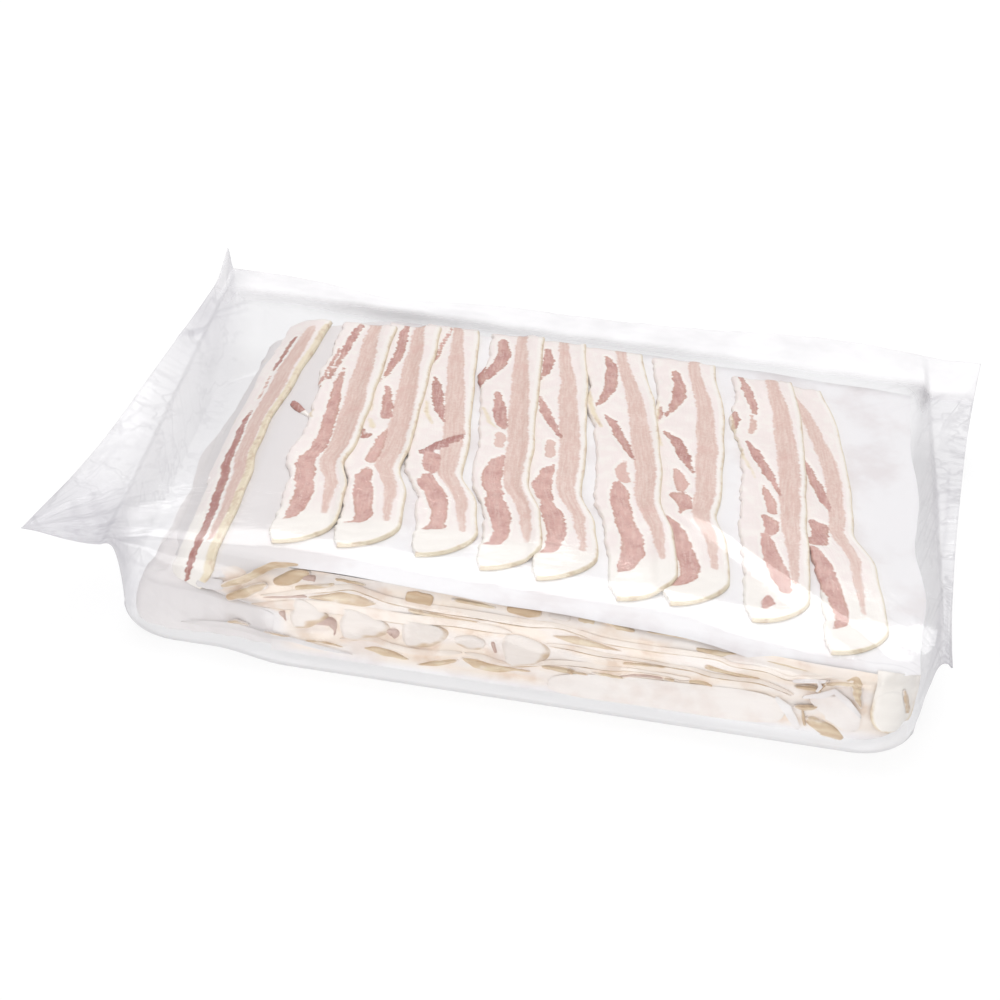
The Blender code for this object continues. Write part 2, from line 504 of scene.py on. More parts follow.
@dataclass(frozen=True)
class SliceFinish:
    """Raw streaky bacon: two bands of lean in white fat, and a straw rind."""

    fat: Colour = (0.95, 0.860, 0.825, 1.0)
    fat_bright: Colour = (0.98, 0.94, 0.88, 1.0)
    # Dimmed copies for the front's strips: partly painted shade in the gaps and under the layers at the
    # front, partly a duller tone.
    fat_dimmed: Colour = (0.84, 0.77, 0.71, 1.0)
    lean: Colour = (0.73, 0.43, 0.37, 1.0)
    lean_deep: Colour = (0.44, 0.165, 0.14, 1.0)
    lean_brown: Colour = (0.50, 0.27, 0.17, 1.0)
    pale: Colour = (0.73, 0.49, 0.415, 1.0)
    pale_light: Colour = (0.83, 0.65, 0.57, 1.0)
    rind: Colour = (0.87, 0.76, 0.54, 1.0)
    rind_deep: Colour = (0.64, 0.45, 0.27, 1.0)
    rind_dimmed: Colour = (0.56, 0.36, 0.18, 1.0)
    lean_dimmed: Colour = (0.56, 0.40, 0.34, 1.0)
    roughness: float = 0.38

    def material(self) -> bpy.types.Material:
        """Returns the slices' material."""
        bench = NodeBench("slice")
        along = bench.attribute("along")
        across = bench.attribute("across")
        number = bench.attribute("number")
        tone = bench.attribute("tone")
        strand = bench.stretch(
            bench.math("MULTIPLY", along, 60.0), bench.math("MULTIPLY", across, 620.0), number
        )
        rib = bench.stretch(
            bench.math("MULTIPLY", along, 430.0), bench.math("MULTIPLY", across, 110.0), number
        )
        grain = bench.noise(strand, 1.0, 4.0, 0.6)
        tooth = bench.noise(rib, 1.0, 3.0, 0.6)
        blotch = bench.noise(bench.place(), 120.0, 4.0, 0.6)
        fine = bench.noise(bench.place(), 520.0, 4.0, 0.65)
        broad = bench.noise(bench.place(), 38.0, 2.0, 0.5)
        ragged = bench.math(
            "ADD",
            bench.math("MULTIPLY_ADD", tooth, 6.0, -3.0),
            bench.math("MULTIPLY_ADD", blotch, 5.4, -2.7),
        )
        past_hook = bench.fit(along, -0.070, -0.092)
        white = bench.math("MAXIMUM", bench.fit(blotch, 0.42, 0.68, 0.0, 0.7), past_hook)
        beside_rind = bench.fit(across, 0.0060, 0.0035, 0.0, 0.85)
        white = bench.math("MAXIMUM", white, beside_rind)
        beside_lean = bench.fit(bench.attribute("lean"), -3.4, -1.2, 0.0, 0.8)
        white = bench.math("MAXIMUM", white, beside_lean)
        fat = bench.mix(white, self.fat, self.fat_bright)
        # Dimmed fat, lean and rind at the front: partly painted shade, partly a duller tone.
        fat = bench.mix(bench.attribute("dimmed"), fat, self.fat_dimmed)
        pale_edge = bench.math("ADD", bench.attribute("pale"), bench.math("MULTIPLY", ragged, 0.7))
        pale_share = bench.fit(pale_edge, -0.9, 1.0, 0.0, 0.96)
        streak = bench.math("MULTIPLY_ADD", fine, 0.5, bench.math("MULTIPLY", grain, 0.6))
        pale = bench.mix(bench.fit(streak, 0.42, 0.70), self.pale, self.pale_light)
        pale = bench.mix(bench.fit(broad, 0.58, 0.74, 0.0, 0.5), pale, self.lean)
        colour = bench.mix(pale_share, fat, pale)
        lean_edge = bench.math("ADD", bench.attribute("lean"), bench.math("MULTIPLY", ragged, 0.8))
        lean_share = bench.fit(lean_edge, -0.55, 0.65)
        depth = bench.math("MULTIPLY_ADD", blotch, 0.75, tone)
        lean = bench.mix(bench.fit(depth, 0.72, 1.27), self.lean, self.lean_deep)
        lean = bench.mix(bench.fit(streak, 0.50, 0.70, 0.0, 0.45), lean, self.pale_light)
        speck = bench.fit(bench.noise(bench.place(), 700.0, 2.0, 0.5), 0.58, 0.72, 0.0, 0.45)
        lean = bench.mix(speck, lean, self.lean_deep)
        brink = bench.math(
            "MULTIPLY",
            bench.fit(lean_edge, 0.1, 0.7),
            bench.fit(lean_edge, 2.0, 0.8, 0.0, 0.42),
        )
        lean = bench.mix(bench.math("MULTIPLY", brink, bench.fit(broad, 0.40, 0.56)), lean, self.lean_brown)
        lean = bench.mix(bench.fit(tone, 0.42, 0.15, 0.0, 0.7), lean, self.pale_light)
        lean = bench.mix(bench.attribute("dimmed"), lean, self.lean_dimmed)
        colour = bench.mix(lean_share, colour, lean)
        rim = bench.math("ADD", bench.attribute("rind"), bench.math("MULTIPLY", ragged, 0.30))
        skin = bench.mix(bench.fit(blotch, 0.45, 0.74), self.rind, self.rind_deep)
        skin = bench.mix(bench.attribute("dimmed"), skin, self.rind_dimmed)
        colour = bench.mix(bench.fit(rim, -1.0, 1.6, 0.0, 0.88), colour, skin)
        height = bench.math("ADD", bench.math("MULTIPLY", grain, 0.6), blotch)
        normal = bench.bump(height, 0.5, 0.0006)
        looks = {"Base Color": colour, "Roughness": self.roughness, "Normal": normal}
        return bench.output(bench.add("BsdfPrincipled", looks))


@dataclass(frozen=True)
class Lie:
    """How the sheets lie on each other: the height of every layer at every place.

    Each layer takes a share of the stack's height, and the shares change along
    the stack, so the sheets wave at their edges and never cross.
    """

    sheets: int = 7
    lowest_share: float = 0.35
    foot: float = 0.0030
    top: float = 0.0575
    inner_wave: float = 0.10
    edge_wave: float = 0.46
    wave_pitch: float = 0.075
    shoulder_high: Pair = (-0.196, -0.236)
    shoulder_low: Pair = (-0.226, -0.253)

    def at_edge(self, x: float, y: float) -> float:
        """Tells the stack's edges from its middle.

        Args:
            x: Place along the stack.
            y: Place across it.

        Returns:
            1 on the outer edges and 0 well inside.
        """
        front = ease(-0.095, -0.145, y)
        back = ease(0.125, 0.165, y)
        right = ease(0.215, 0.250, x)
        left = ease(-0.205, -0.240, x)
        return max(front, 0.6 * back, 0.5 * right, 0.5 * left)

    def scale(self, x: float, y: float) -> float:
        """Gives how far the stack sinks at its left end and right front corner.

        Args:
            x: Place along the stack.
            y: Place across it.

        Returns:
            The share of its full height that it has there.
        """
        left = 0.30 * ease(*self.shoulder_high, x) + 0.52 * ease(*self.shoulder_low, x)
        right = 0.12 * ease(0.10, 0.25, x) * ease(-0.02, -0.15, y)
        return (1.0 - left) * (1.0 - right)

    def height(self, layer: int, x: float, y: float) -> float:
        """Gives the height of a sheet.

        Args:
            layer: The sheet's number, from 0 for the top one.
            x: Place along the stack.
            y: Place across it.

        Returns:
            The height of the sheet's middle.
        """
        swing = blend(self.inner_wave, self.edge_wave, self.at_edge(x, y))
        shares = [
            1.0 + swing * wander(11.0 + number, x + 0.35 * y, self.wave_pitch)
            for number in range(1, self.sheets)
        ]
        shares[-1] *= self.lowest_share
        below = sum(shares[layer:]) / sum(shares)
        full = blend(self.foot, self.top, below)
        swell = 0.0008 * mottle(3.0, x, y, 0.06)
        return self.foot + (full + swell - self.foot) * self.scale(x, y)


@dataclass(frozen=True)
class Drape:
    """How each layer goes over the stack's front edge and hangs from it."""

    lie: Lie
    brinks: tuple[float, ...] = (-0.1315, -0.1360, -0.1390, -0.1420, -0.1440, -0.1450, -0.1450)
    forward_run: float = 0.013
    bend: float = 0.005
    steps: int = 6
    least_height: float = 0.0022

    def edge(self, layer: int, x: float) -> float:
        """Returns the Y at which a layer leaves the stack and starts to hang."""
        return self.brinks[layer] - self.forward_run * ease(-0.20, 0.22, x)

    def lay(self, layer: int, place: Pair, lift: float, limp: float) -> Vector:
        """Gives a point of something that lies on a layer or hangs over its edge.

        Args:
            layer: The sheet's number, from 0 for the top one.
            place: X and Y that the point would have if the layer lay flat.
            lift: How far the point is above the layer.
            limp: The steepest angle to which the layer bends down, in radians.

        Returns:
            The point.
        """
        x, y = place
        edge = self.edge(layer, x)
        level = self.lie.height(layer, x, max(y, edge))
        past = edge - y
        if past <= 0.0:
            return Vector((x, y, level + lift))
        run = fall = 0.0
        for step in range(self.steps):
            reach = past * (step + 0.5) / self.steps
            angle = limp * (1.0 - math.exp(-reach / self.bend))
            run += math.cos(angle) * past / self.steps
            fall += math.sin(angle) * past / self.steps
        angle = limp * (1.0 - math.exp(-past / self.bend))
        fall = min(fall, max(level - self.least_height, 0.0))
        at = Vector((x, edge - run, level - fall))
        return at + Vector((0.0, -math.sin(angle), math.cos(angle))) * lift


@dataclass(frozen=True)
class Streak:
    """A streak on a surface: a run of nodes, in millimetres, and how deep its tone is.

    A node gives two coordinates of the surface and half the streak's width
    there. On a slice they are the station along it, from plus 150 at its back
    end to about minus 115 at its front end, and the distance in from the rind.
    """

    tone: float
    nodes: tuple[tuple[float, float, float], ...]

    def depth(self, first: float, second: float) -> float:
        """Gives how far inside the streak a point is.

        Args:
            first: The point's first coordinate.
            second: Its second coordinate.

        Returns:
            Millimetres inside the edge, negative outside.
        """
        best = OUTSIDE
        for (start, start_in, start_half), (end, end_in, end_half) in zip(self.nodes, self.nodes[1:]):
            run, aside = end - start, end_in - start_in
            share = (first - start) * run + (second - start_in) * aside
            share = min(max(share / (run * run + aside * aside), 0.0), 1.0)
            away = math.hypot(first - start - run * share, second - start_in - aside * share)
            best = max(best, blend(start_half, end_half, share) - away)
        return best

    def at(self, share: float, crisp: bool = False) -> Vector:
        """Gives the streak's middle and half width, on a curve through its nodes.

        Args:
            share: Share of the way from the first node to the last.
            crisp: Whether the curve is bent sharply at its nodes.

        Returns:
            The two coordinates and the half width.
        """
        last = len(self.nodes) - 1
        number = min(int(share * last), last - 1)
        part = share * last - number
        before, start, end, after = (
            Vector(self.nodes[min(max(number + step, 0), last)]) for step in (-1, 0, 1, 2)
        )
        if crisp:
            return start.lerp(end, part)
        return 0.5 * (
            2.0 * start
            + (end - before) * part
            + (2.0 * before - 5.0 * start + 4.0 * end - after) * part**2
            + (3.0 * start - before - 3.0 * end + after) * part**3
        )


@dataclass(frozen=True)
class SliceCut:
    """How one slice lies: the line of its rind, its size and its lean, in millimetres."""

    number: int
    rind_x: float
    lean: float
    back_bend: float
    dip: float
    kink: float
    width: float
    back: float
    front: float
    patches: tuple[Streak, ...] = ()
    straw: tuple[Streak, ...] = ()
    pale: Streak = Streak(0.0, ((163, 17, 3.5), (120, 15.5, 5.8), (50, 12.6, 7.6), (-10, 11.6, 7),
        (-45, 11.2, 4.8), (-82, 10.5, 2.2)))
    rind: float = 1.9
    hook: Pair = (30.0, 37.0)
    end_drift: float = 0.0
    flap: tuple[float, float, float] = (95.0, 26.0, 2.5)

    def rind_line(self, station: float) -> float:
        """Gives the line of the rind.

        Args:
            station: Place along the slice, in millimetres.

        Returns:
            The rind's X.
        """
        straight = self.rind_x + self.lean * (station - 20.0) * (1.0 if station > 20.0 else 0.35)
        bend = self.back_bend * ease(95.0, 160.0, station)
        dip = self.dip * bump(-28.0, 16.0, station)
        kink = self.kink * (0.75 * ease(-18.0, -55.0, station) + 0.25 * ease(-50.0, -88.0, station))
        ripple = 0.9 * wander(40.0 + self.number, station, 46.0)
        drift = self.end_drift * max(-146.0 - station, 0.0)
        return straight + bend + dip + kink + ripple - drift

    def inner_line(self, station: float) -> float:
        """Gives the line of the edge away from the rind.

        Args:
            station: Place along the slice, in millimetres.

        Returns:
            The edge's X.
        """
        ripple = 1.3 * wander(60.0 + self.number, station, 38.0)
        nick = 0.7 * wander(65.0 + self.number, station, 11.0)
        at, spread, out = self.flap
        return self.rind_line(station) - self.width - out * bump(at, spread, station) + ripple + nick


@dataclass
class SliceShape:
    """One slice as a thin slab that follows what it lies on."""

    cut: SliceCut
    lay: Callable[[float, float, float], Vector]
    columns: int = 150
    rows: int = 26
    thickness: float = 0.0027
    roundness: float = 1.25
    front_draw: float = 1.0

    @property
    def hook_from(self) -> float:
        """Returns the station at which the front end starts to turn."""
        return self.cut.front + self.cut.hook[0]

    def edges(self, along: float) -> tuple[Vector, Vector, float]:
        """Gives the two edges of the slice at a share of its length.

        Args:
            along: Share of the length, from the back end.

        Returns:
            The inner edge, the rind edge and the station, in millimetres.
        """
        cut = self.cut
        hook_depth, hook_width = cut.hook
        straight = cut.back - self.hook_from
        arc = 0.5 * math.pi * 0.5 * (hook_depth + hook_width)
        run = along * (straight + arc)
        if run <= straight:
            station = cut.back - run
            return (
                Vector((cut.inner_line(station), station)),
                Vector((cut.rind_line(station), station)),
                station,
            )
        turn = (run - straight) / arc
        angle = 0.5 * math.pi * turn
        corner = Vector((cut.rind_line(self.hook_from), self.hook_from))
        side = 1.0 - max(math.cos(angle), 0.0) ** self.roundness
        ahead = math.sin(angle) ** self.roundness
        rind = corner - Vector((hook_width * side, hook_depth * ahead))
        start = Vector((cut.inner_line(self.hook_from), self.hook_from))
        tip = corner - Vector((hook_width + 2.0, hook_depth - min(5.0, 0.3 * hook_depth)))
        bulge = Vector((-1.5, -2.0)) * math.sin(math.pi * turn)
        inner = start.lerp(tip, turn) + bulge
        return inner, rind, self.hook_from - turn * arc

    def spread(self, across: float) -> float:
        """Returns the share across with the rows drawn in towards the two edges."""
        return 0.5 - 0.5 * math.cos(math.pi * across) * (0.72 + 0.28 * abs(math.cos(math.pi * across)))

    def point(self, along: float, across: float) -> tuple[float, float, float, float]:
        """Gives a point of the slice's plan.

        Args:
            along: Share of the length.
            across: Share of the width, from the inner edge to the rind.

        Returns:
            X and Y in metres, then station and distance from the rind in millimetres.
        """
        inner, rind, station = self.edges(along)
        share = self.spread(across)
        flat = inner.lerp(rind, share)
        inward = (rind - flat).length
        ragged = 1.1 * mottle(80.0 + self.cut.number, station, share * 9.0, 6.0)
        if along < 0.001 or along > 0.999:
            ragged = 0.0
        back_end = 1.5 * mottle(90.0 + self.cut.number, inward, 0.0, 9.0) * (1.0 - along) ** 12
        return (
            (flat.x + ragged * (1.0 - share) ** 3) * MM,
            (flat.y + back_end) * MM,
            station,
            inward,
        )

    def place(self, along: float, across: float) -> SlabPoint:
        """Gives a point of the slice.

        Args:
            along: Share of the length.
            across: Share of the width, from the inner edge to the rind.

        Returns:
            Its two faces, and the meat's make-up there.
        """
        along = 1.0 - (1.0 - along) ** self.front_draw
        x, y, station, inward = self.point(along, across)
        share = self.spread(across)
        near_side = min(share, 1.0 - share) * self.cut.width
        near_end = min(along, 1.0 - along) * (self.cut.back - self.cut.front)
        rim = min(near_side, near_end) / 1.6
        full = math.sqrt(max(0.0, 1.0 - (1.0 - min(rim, 1.0)) ** 2))
        body = self.thickness * (1.0 + 0.10 * mottle(70.0 + self.cut.number, station, inward, 11.0))
        lean, tone, pale, straw = self.field(station, inward)
        ridge = 0.0004 * ease(0.0, -1.5, lean)
        proud = 0.0012 * ease(0.85, 1.0, tone) * ease(-1.0, 1.5, lean)
        marks = {
            "along": station * MM,
            "across": inward * MM,
            "number": self.cut.number * 1.7,
            "lean": lean,
            "tone": tone,
            "pale": pale,
            "rind": max(self.cut.rind - inward, straw),
        }
        return SlabPoint(self.lay(x, y, (body + ridge + proud) * full), self.lay(x, y, 0.0), marks)

    def field(self, station: float, inward: float) -> tuple[float, float, float, float]:
        """Gives the meat's make-up at a point of the slice.

        Args:
            station: Place along the slice, in millimetres.
            inward: Distance in from the rind.

        Returns:
            Depth inside the lean, its tone, depth inside the pale lean, and
            depth inside a straw-coloured edge.
        """
        lean, tone = OUTSIDE, 0.3
        for patch in self.cut.patches:
            depth = patch.depth(station, inward)
            if depth > lean:
                lean, tone = depth, patch.tone
        pale = self.cut.pale.depth(station, inward)
        straw = max((patch.depth(station, inward) for patch in self.cut.straw), default=OUTSIDE)
        return lean, tone, pale, straw


@dataclass
class TopSlices:
    """The ten slices side by side on the top sheet."""

    lie: Lie
    drape: Drape
    cuts: tuple[SliceCut, ...] = (
        SliceCut(
            1, -203.0, 0.12, 0.0, 0.0, 6.0, 33.0, 150.0, -160.0,
            patches=(
                Streak(0.85, ((126, 21, 1), (118, 22, 2), (95, 23, 2), (85, 23, 1))),
                Streak(0.3, ((80, 23, 1), (50, 22.5, 1))),
                Streak(0.88, ((34, 21, 1.2), (5, 20, 3), (-40, 20.5, 3.4), (-80, 19, 3.4),
                    (-110, 17.5, 3), (-134, 17, 2.6), (-147, 17.5, 1.5), (-156, 18.5, 0.5))),
            ),
            straw=(
                Streak(0.0, ((140, 2, 2.5), (20, 2.5, 2.6), (-100, 3, 3.4), (-150, 3.5, 3.6))),
            ),
            pale=Streak(0.0, ((135, 12, 3.6), (101, 13, 6), (50, 12, 6.6), (0, 10.6, 5.4),
                (-60, 9.6, 4.2), (-120, 8.5, 2.8))),
            hook=(7.0, 20.0),
            end_drift=0.5,
        ),
        SliceCut(
            2, -138.0, -0.005, 0.0, -5.0, 3.0, 41.0, 152.0, -120.5,
            patches=(
                Streak(0.6, ((147, 27.5, 2.5), (120, 30.5, 3), (90, 34.5, 2), (72, 36.5, 1.5))),
                Streak(0.5, ((112, 36, 1), (92, 39, 1.5), (60, 40.5, 1))),
                Streak(0.5, ((88, 28.5, 1), (68, 27.5, 3), (50, 27.5, 4), (20, 25, 4.5), (0, 24.5, 5),
                    (-18, 24, 5), (-36, 27, 6.5), (-50, 30, 7), (-62, 27, 6), (-78, 28.5, 6),
                    (-92, 30.5, 4), (-101, 33, 1))),
            ),
            straw=(
                Streak(0.0, ((30, 40, 1.5), (22, 38, 1))),
            ),
            flap=(84.0, 16.0, 4.0),
        ),
        SliceCut(
            3, -102.0, -0.02, 0.0, -3.0, 8.5, 41.0, 160.0, -115.0,
            patches=(
                Streak(0.62, ((162, 26.5, 2), (145, 27, 3.5), (111, 27, 3.5), (88, 31.5, 2), (78, 34, 1))),
                Streak(0.6, ((72, 28.5, 2), (52, 24.5, 4), (36, 23, 4.5))),
                Streak(0.75, ((16, 36, 1), (6, 34, 2), (10, 30, 1.5))),
                Streak(0.4, ((17, 20, 1.5), (5, 22, 4), (-18, 21.5, 4))),
                Streak(0.5, ((-30, 22.5, 3), (-42, 30, 5.5), (-58, 29, 7), (-78, 26, 6), (-88, 28, 4),
                    (-96, 33.5, 1))),
            ),
            straw=(
                Streak(0.0, ((28, 33, 2), (20, 30, 2.5))),
                Streak(0.0, ((70, 38, 1.5), (40, 35, 1.5))),
            ),
            flap=(60.0, 26.0, 1.0),
        ),
        SliceCut(
            4, -63.0, -0.095, 0.0, 0.0, 18.0, 41.0, 166.0, -111.5,
            patches=(
                Streak(0.45, ((164, 21, 1), (140, 27.5, 1.5), (112, 31.5, 1))),
                Streak(0.7, ((92, 29.5, 1.5), (74, 27, 4.5), (54, 23.5, 4), (38, 19.5, 1))),
                Streak(1.0, ((24, 6, 2), (18, 11.5, 4), (8, 22, 4), (-1, 30.5, 2.5))),
                Streak(0.48, ((0, 27.5, 3), (-5, 23.5, 6), (-16, 22, 6))),
                Streak(0.52, ((-28, 25.5, 4.5), (-38, 28.5, 8.5), (-50, 28.5, 8), (-62, 25.5, 6),
                    (-80, 27.5, 5.5), (-88, 35.5, 1))),
            ),
            straw=(
                Streak(0.0, ((60, 33, 1.5), (44, 32, 2), (34, 28, 1))),
            ),
        ),
        SliceCut(
            5, -17.5, -0.065, 0.0, 0.0, 16.5, 40.0, 166.0, -115.5,
            patches=(
                Streak(0.62, ((155, 31, 3.5), (140, 29, 5), (122, 31.5, 5), (104, 39, 3.5),
                    (95, 43.5, 1.5))),
                Streak(0.68, ((116, 43, 2), (92, 45, 2), (84, 46, 1))),
                Streak(0.6, ((84, 30, 2.5), (64, 27, 5), (46, 24, 4.5), (42, 22.5, 2.5))),
                Streak(0.22, ((32, 25, 4), (20, 25, 3.5))),
                Streak(0.5, ((8, 20, 1.5), (0, 23.5, 5), (-18, 26, 7.5), (-32, 26.5, 6.5))),
                Streak(0.52, ((-39, 28, 5.5), (-48, 30, 8), (-60, 27.5, 7.5), (-78, 28, 5.5),
                    (-90, 30.5, 4.5), (-97, 36.5, 1))),
            ),
            straw=(
                Streak(0.0, ((62, 38, 1.5), (46, 33, 2), (40, 27, 1))),
            ),
            flap=(98.0, 20.0, 6.0),
        ),
        SliceCut(
            6, 19.5, -0.085, -3.0, 0.0, 16.0, 41.0, 165.0, -117.5,
            patches=(
                Streak(0.66, ((150, 29, 2.5), (138, 28, 4.5), (120, 32.5, 3), (108, 38, 1))),
                Streak(0.6, ((88, 35, 1.5), (72, 31, 4), (54, 24.5, 3.5), (41, 19.5, 1))),
                Streak(0.24, ((32, 26, 4), (18, 25.5, 3.5))),
                Streak(0.52, ((6, 22, 1.5), (-2, 25, 5), (-20, 28, 7), (-31, 28.5, 6))),
                Streak(0.52, ((-37, 28.5, 5), (-48, 29.5, 8), (-62, 27, 7), (-80, 30, 5), (-88, 32.5, 4),
                    (-94, 37.5, 1))),
            ),
        ),
        SliceCut(
            7, 73.0, -0.13, -6.0, 0.0, 13.0, 46.0, 165.0, -126.5,
            patches=(
                Streak(0.6, ((152, 27.5, 2.5), (138, 26, 4.5), (120, 29, 5), (98, 38, 3), (86, 44, 1))),
                Streak(0.66, ((78, 38, 1), (70, 33.5, 3.5), (52, 27.5, 4), (36, 22.5, 2.5), (27, 19, 1))),
                Streak(0.3, ((22, 26.5, 2), (12, 29.5, 4), (2, 26, 4.5))),
                Streak(0.5, ((-4, 30, 3), (-14, 28.5, 6.5), (-30, 29, 7), (-48, 31.5, 6.5),
                    (-62, 28, 7.5), (-78, 29, 7.5), (-92, 34, 5.5), (-102, 38.5, 1))),
            ),
            straw=(
                Streak(0.0, ((104, 48, 1.5), (80, 47, 2.5), (62, 42, 1.5))),
            ),
            flap=(86.0, 18.0, 5.0),
        ),
        SliceCut(
            8, 115.5, -0.02, -10.0, -2.0, 9.0, 47.0, 163.0, -123.0,
            patches=(
                Streak(0.6, ((144, 31.5, 2.5), (130, 29.5, 4.5), (114, 32.5, 5), (98, 38, 3),
                    (84, 44, 1))),
                Streak(0.6, ((98, 47, 1), (84, 48, 2), (78, 47.5, 1))),
                Streak(0.72, ((66, 42.5, 1.5), (58, 36, 4.5), (40, 28.5, 4.5), (20, 20.5, 1))),
                Streak(0.35, ((22, 33.5, 1.5), (14, 30, 4.5), (6, 28, 5), (0, 29, 3))),
                Streak(0.52, ((-8, 33, 3), (-10, 26, 6), (-18, 22, 4.5), (-28, 26, 1))),
                Streak(0.55, ((-34, 36, 2), (-42, 35, 5.5), (-62, 31, 6.5), (-82, 27, 7), (-98, 27.5, 6),
                    (-110, 30, 4.5))),
            ),
            straw=(
                Streak(0.0, ((104, 49, 1), (70, 49.5, 1.5), (48, 45, 1))),
            ),
            flap=(86.0, 20.0, 5.5),
        ),
        SliceCut(
            9, 173.5, -0.045, -8.0, 0.0, 4.0, 45.0, 152.0, -126.0,
            patches=(
                Streak(0.58, ((150, 39, 1.5), (138, 36.5, 4), (118, 35, 3.5), (106, 33.5, 2))),
                Streak(0.28, ((102, 36, 2), (92, 35.5, 2.5), (80, 37.5, 2))),
                Streak(0.68, ((104, 49, 2.5), (96, 48, 3), (84, 50, 1.5))),
                Streak(0.62, ((68, 40.5, 1.5), (56, 35, 4), (34, 27.5, 4), (9, 17.5, 1))),
                Streak(0.42, ((18, 30.5, 1), (8, 26.5, 3.5), (-2, 24.5, 4.5), (-11, 23.5, 3))),
                Streak(0.55, ((-19, 27.5, 3.5), (-24, 23.5, 5.5), (-34, 25.5, 4))),
                Streak(0.5, ((-38, 29, 3.5), (-50, 28, 5), (-64, 24.5, 6.5), (-78, 20.5, 7),
                    (-90, 16.5, 4.5))),
                Streak(0.6, ((-106, 26, 2.5), (-114, 21.5, 4.5), (-122, 17, 1.5))),
            ),
            straw=(
                Streak(0.0, ((100, 52, 1), (70, 49, 1.5), (48, 44, 1.5), (26, 36, 1))),
            ),
            flap=(92.0, 22.0, 7.5),
        ),
        SliceCut(
            10, 205.5, -0.115, -8.0, 0.0, 18.0, 42.0, 150.0, -142.0,
            patches=(
                Streak(0.6, ((57, 32, 1), (48, 30, 3), (28, 25, 4), (8, 19, 3), (0, 16.5, 1))),
                Streak(0.6, ((-17, 27.5, 4), (-21, 23, 6), (-34, 29.5, 5), (-38, 38, 2.5))),
                Streak(0.52, ((-46, 39, 4.5), (-58, 38.5, 7), (-74, 36, 8), (-90, 32.5, 6),
                    (-104, 31, 5.5), (-116, 31, 4), (-124, 32, 1.5))),
            ),
            pale=Streak(0.0, ((140, 27, 2.6), (110, 22, 4.6), (50, 13, 6), (-10, 12, 5.6), (-60, 15, 3.6),
                (-100, 16, 1.6))),
            flap=(95.0, 26.0, 0.5),
        ),
    )
    overlap_ramp: float = 7.0
    end_limp: float = 1.15
    scrap: tuple[float, float, float, float] = (-187.5, 33.0, 9.5, 4.2)

    def over_next(self, number: int, x: float, y: float) -> float:
        """Gives how far a slice is lifted where it lies on the next one.

        Args:
            number: The slice's place in the row, from 0.
            x: Place along the stack.
            y: Place across it.

        Returns:
            The lift in metres.
        """
        if number + 1 >= len(self.cuts):
            return 0.0
        following = self.cuts[number + 1]
        station = y / MM
        if station < following.front or station > following.back:
            return 0.0
        edge = following.inner_line(station)
        into = ease(edge - self.overlap_ramp, edge + 1.0, x / MM)
        fade = ease(following.front, following.front + 14.0, station)
        return 0.0026 * into * fade

    def lay_scrap(self, piece: Piece) -> None:
        """Lays the small loose scrap of lean beside the second slice.

        Args:
            piece: The piece of slices.
        """
        mid_x, mid_y, length, width = self.scrap

        def place(along: float, across: float) -> SlabPoint:
            """Gives a point of the scrap.

            Args:
                along: Share of the way out from its middle.
                across: Share of a turn round it.

            Returns:
                Its two faces.
            """
            turn = 2.0 * math.pi * across
            out = along * (1.0 + 0.16 * math.sin(3.0 * turn + 1.0))
            ahead, aside = length * out * math.cos(turn), width * out * math.sin(turn)
            x = (mid_x + 0.86 * ahead + 0.50 * aside) * MM
            y = (mid_y - 0.80 * ahead + 0.60 * aside) * MM
            high = 0.0020 * math.sqrt(max(0.0, 1.0 - along * along))
            fat_end = ease(0.30, 0.75, out * math.cos(turn))
            marks = {
                "along": y, "across": x, "number": 3.0, "lean": 2.0 - 5.0 * fat_end,
                "tone": 0.98, "pale": OUTSIDE, "rind": OUTSIDE,
            }
            return SlabPoint(
                self.drape.lay(0, (x, y), ON_SHEET + high, 0.0),
                self.drape.lay(0, (x, y), ON_SHEET, 0.0),
                marks,
            )

        piece.lay_slab(8, 28, place)

    def build(self) -> bpy.types.Object:
        """Returns the ten slices as one piece."""
        piece = Piece("top_slices", Slot.SLICE)
        for number, cut in enumerate(self.cuts):
            def lay(x: float, y: float, lift: float, number: int = number) -> Vector:
                """Returns the point at that height over what lies under this slice."""
                ground = ON_SHEET + self.over_next(number, x, y)
                return self.drape.lay(0, (x, y), ground + lift, self.end_limp)

            shape = SliceShape(cut, lay)
            piece.lay_slab(shape.columns, shape.rows, shape.place)
        self.lay_scrap(piece)
        return piece.finish(SliceFinish().material())


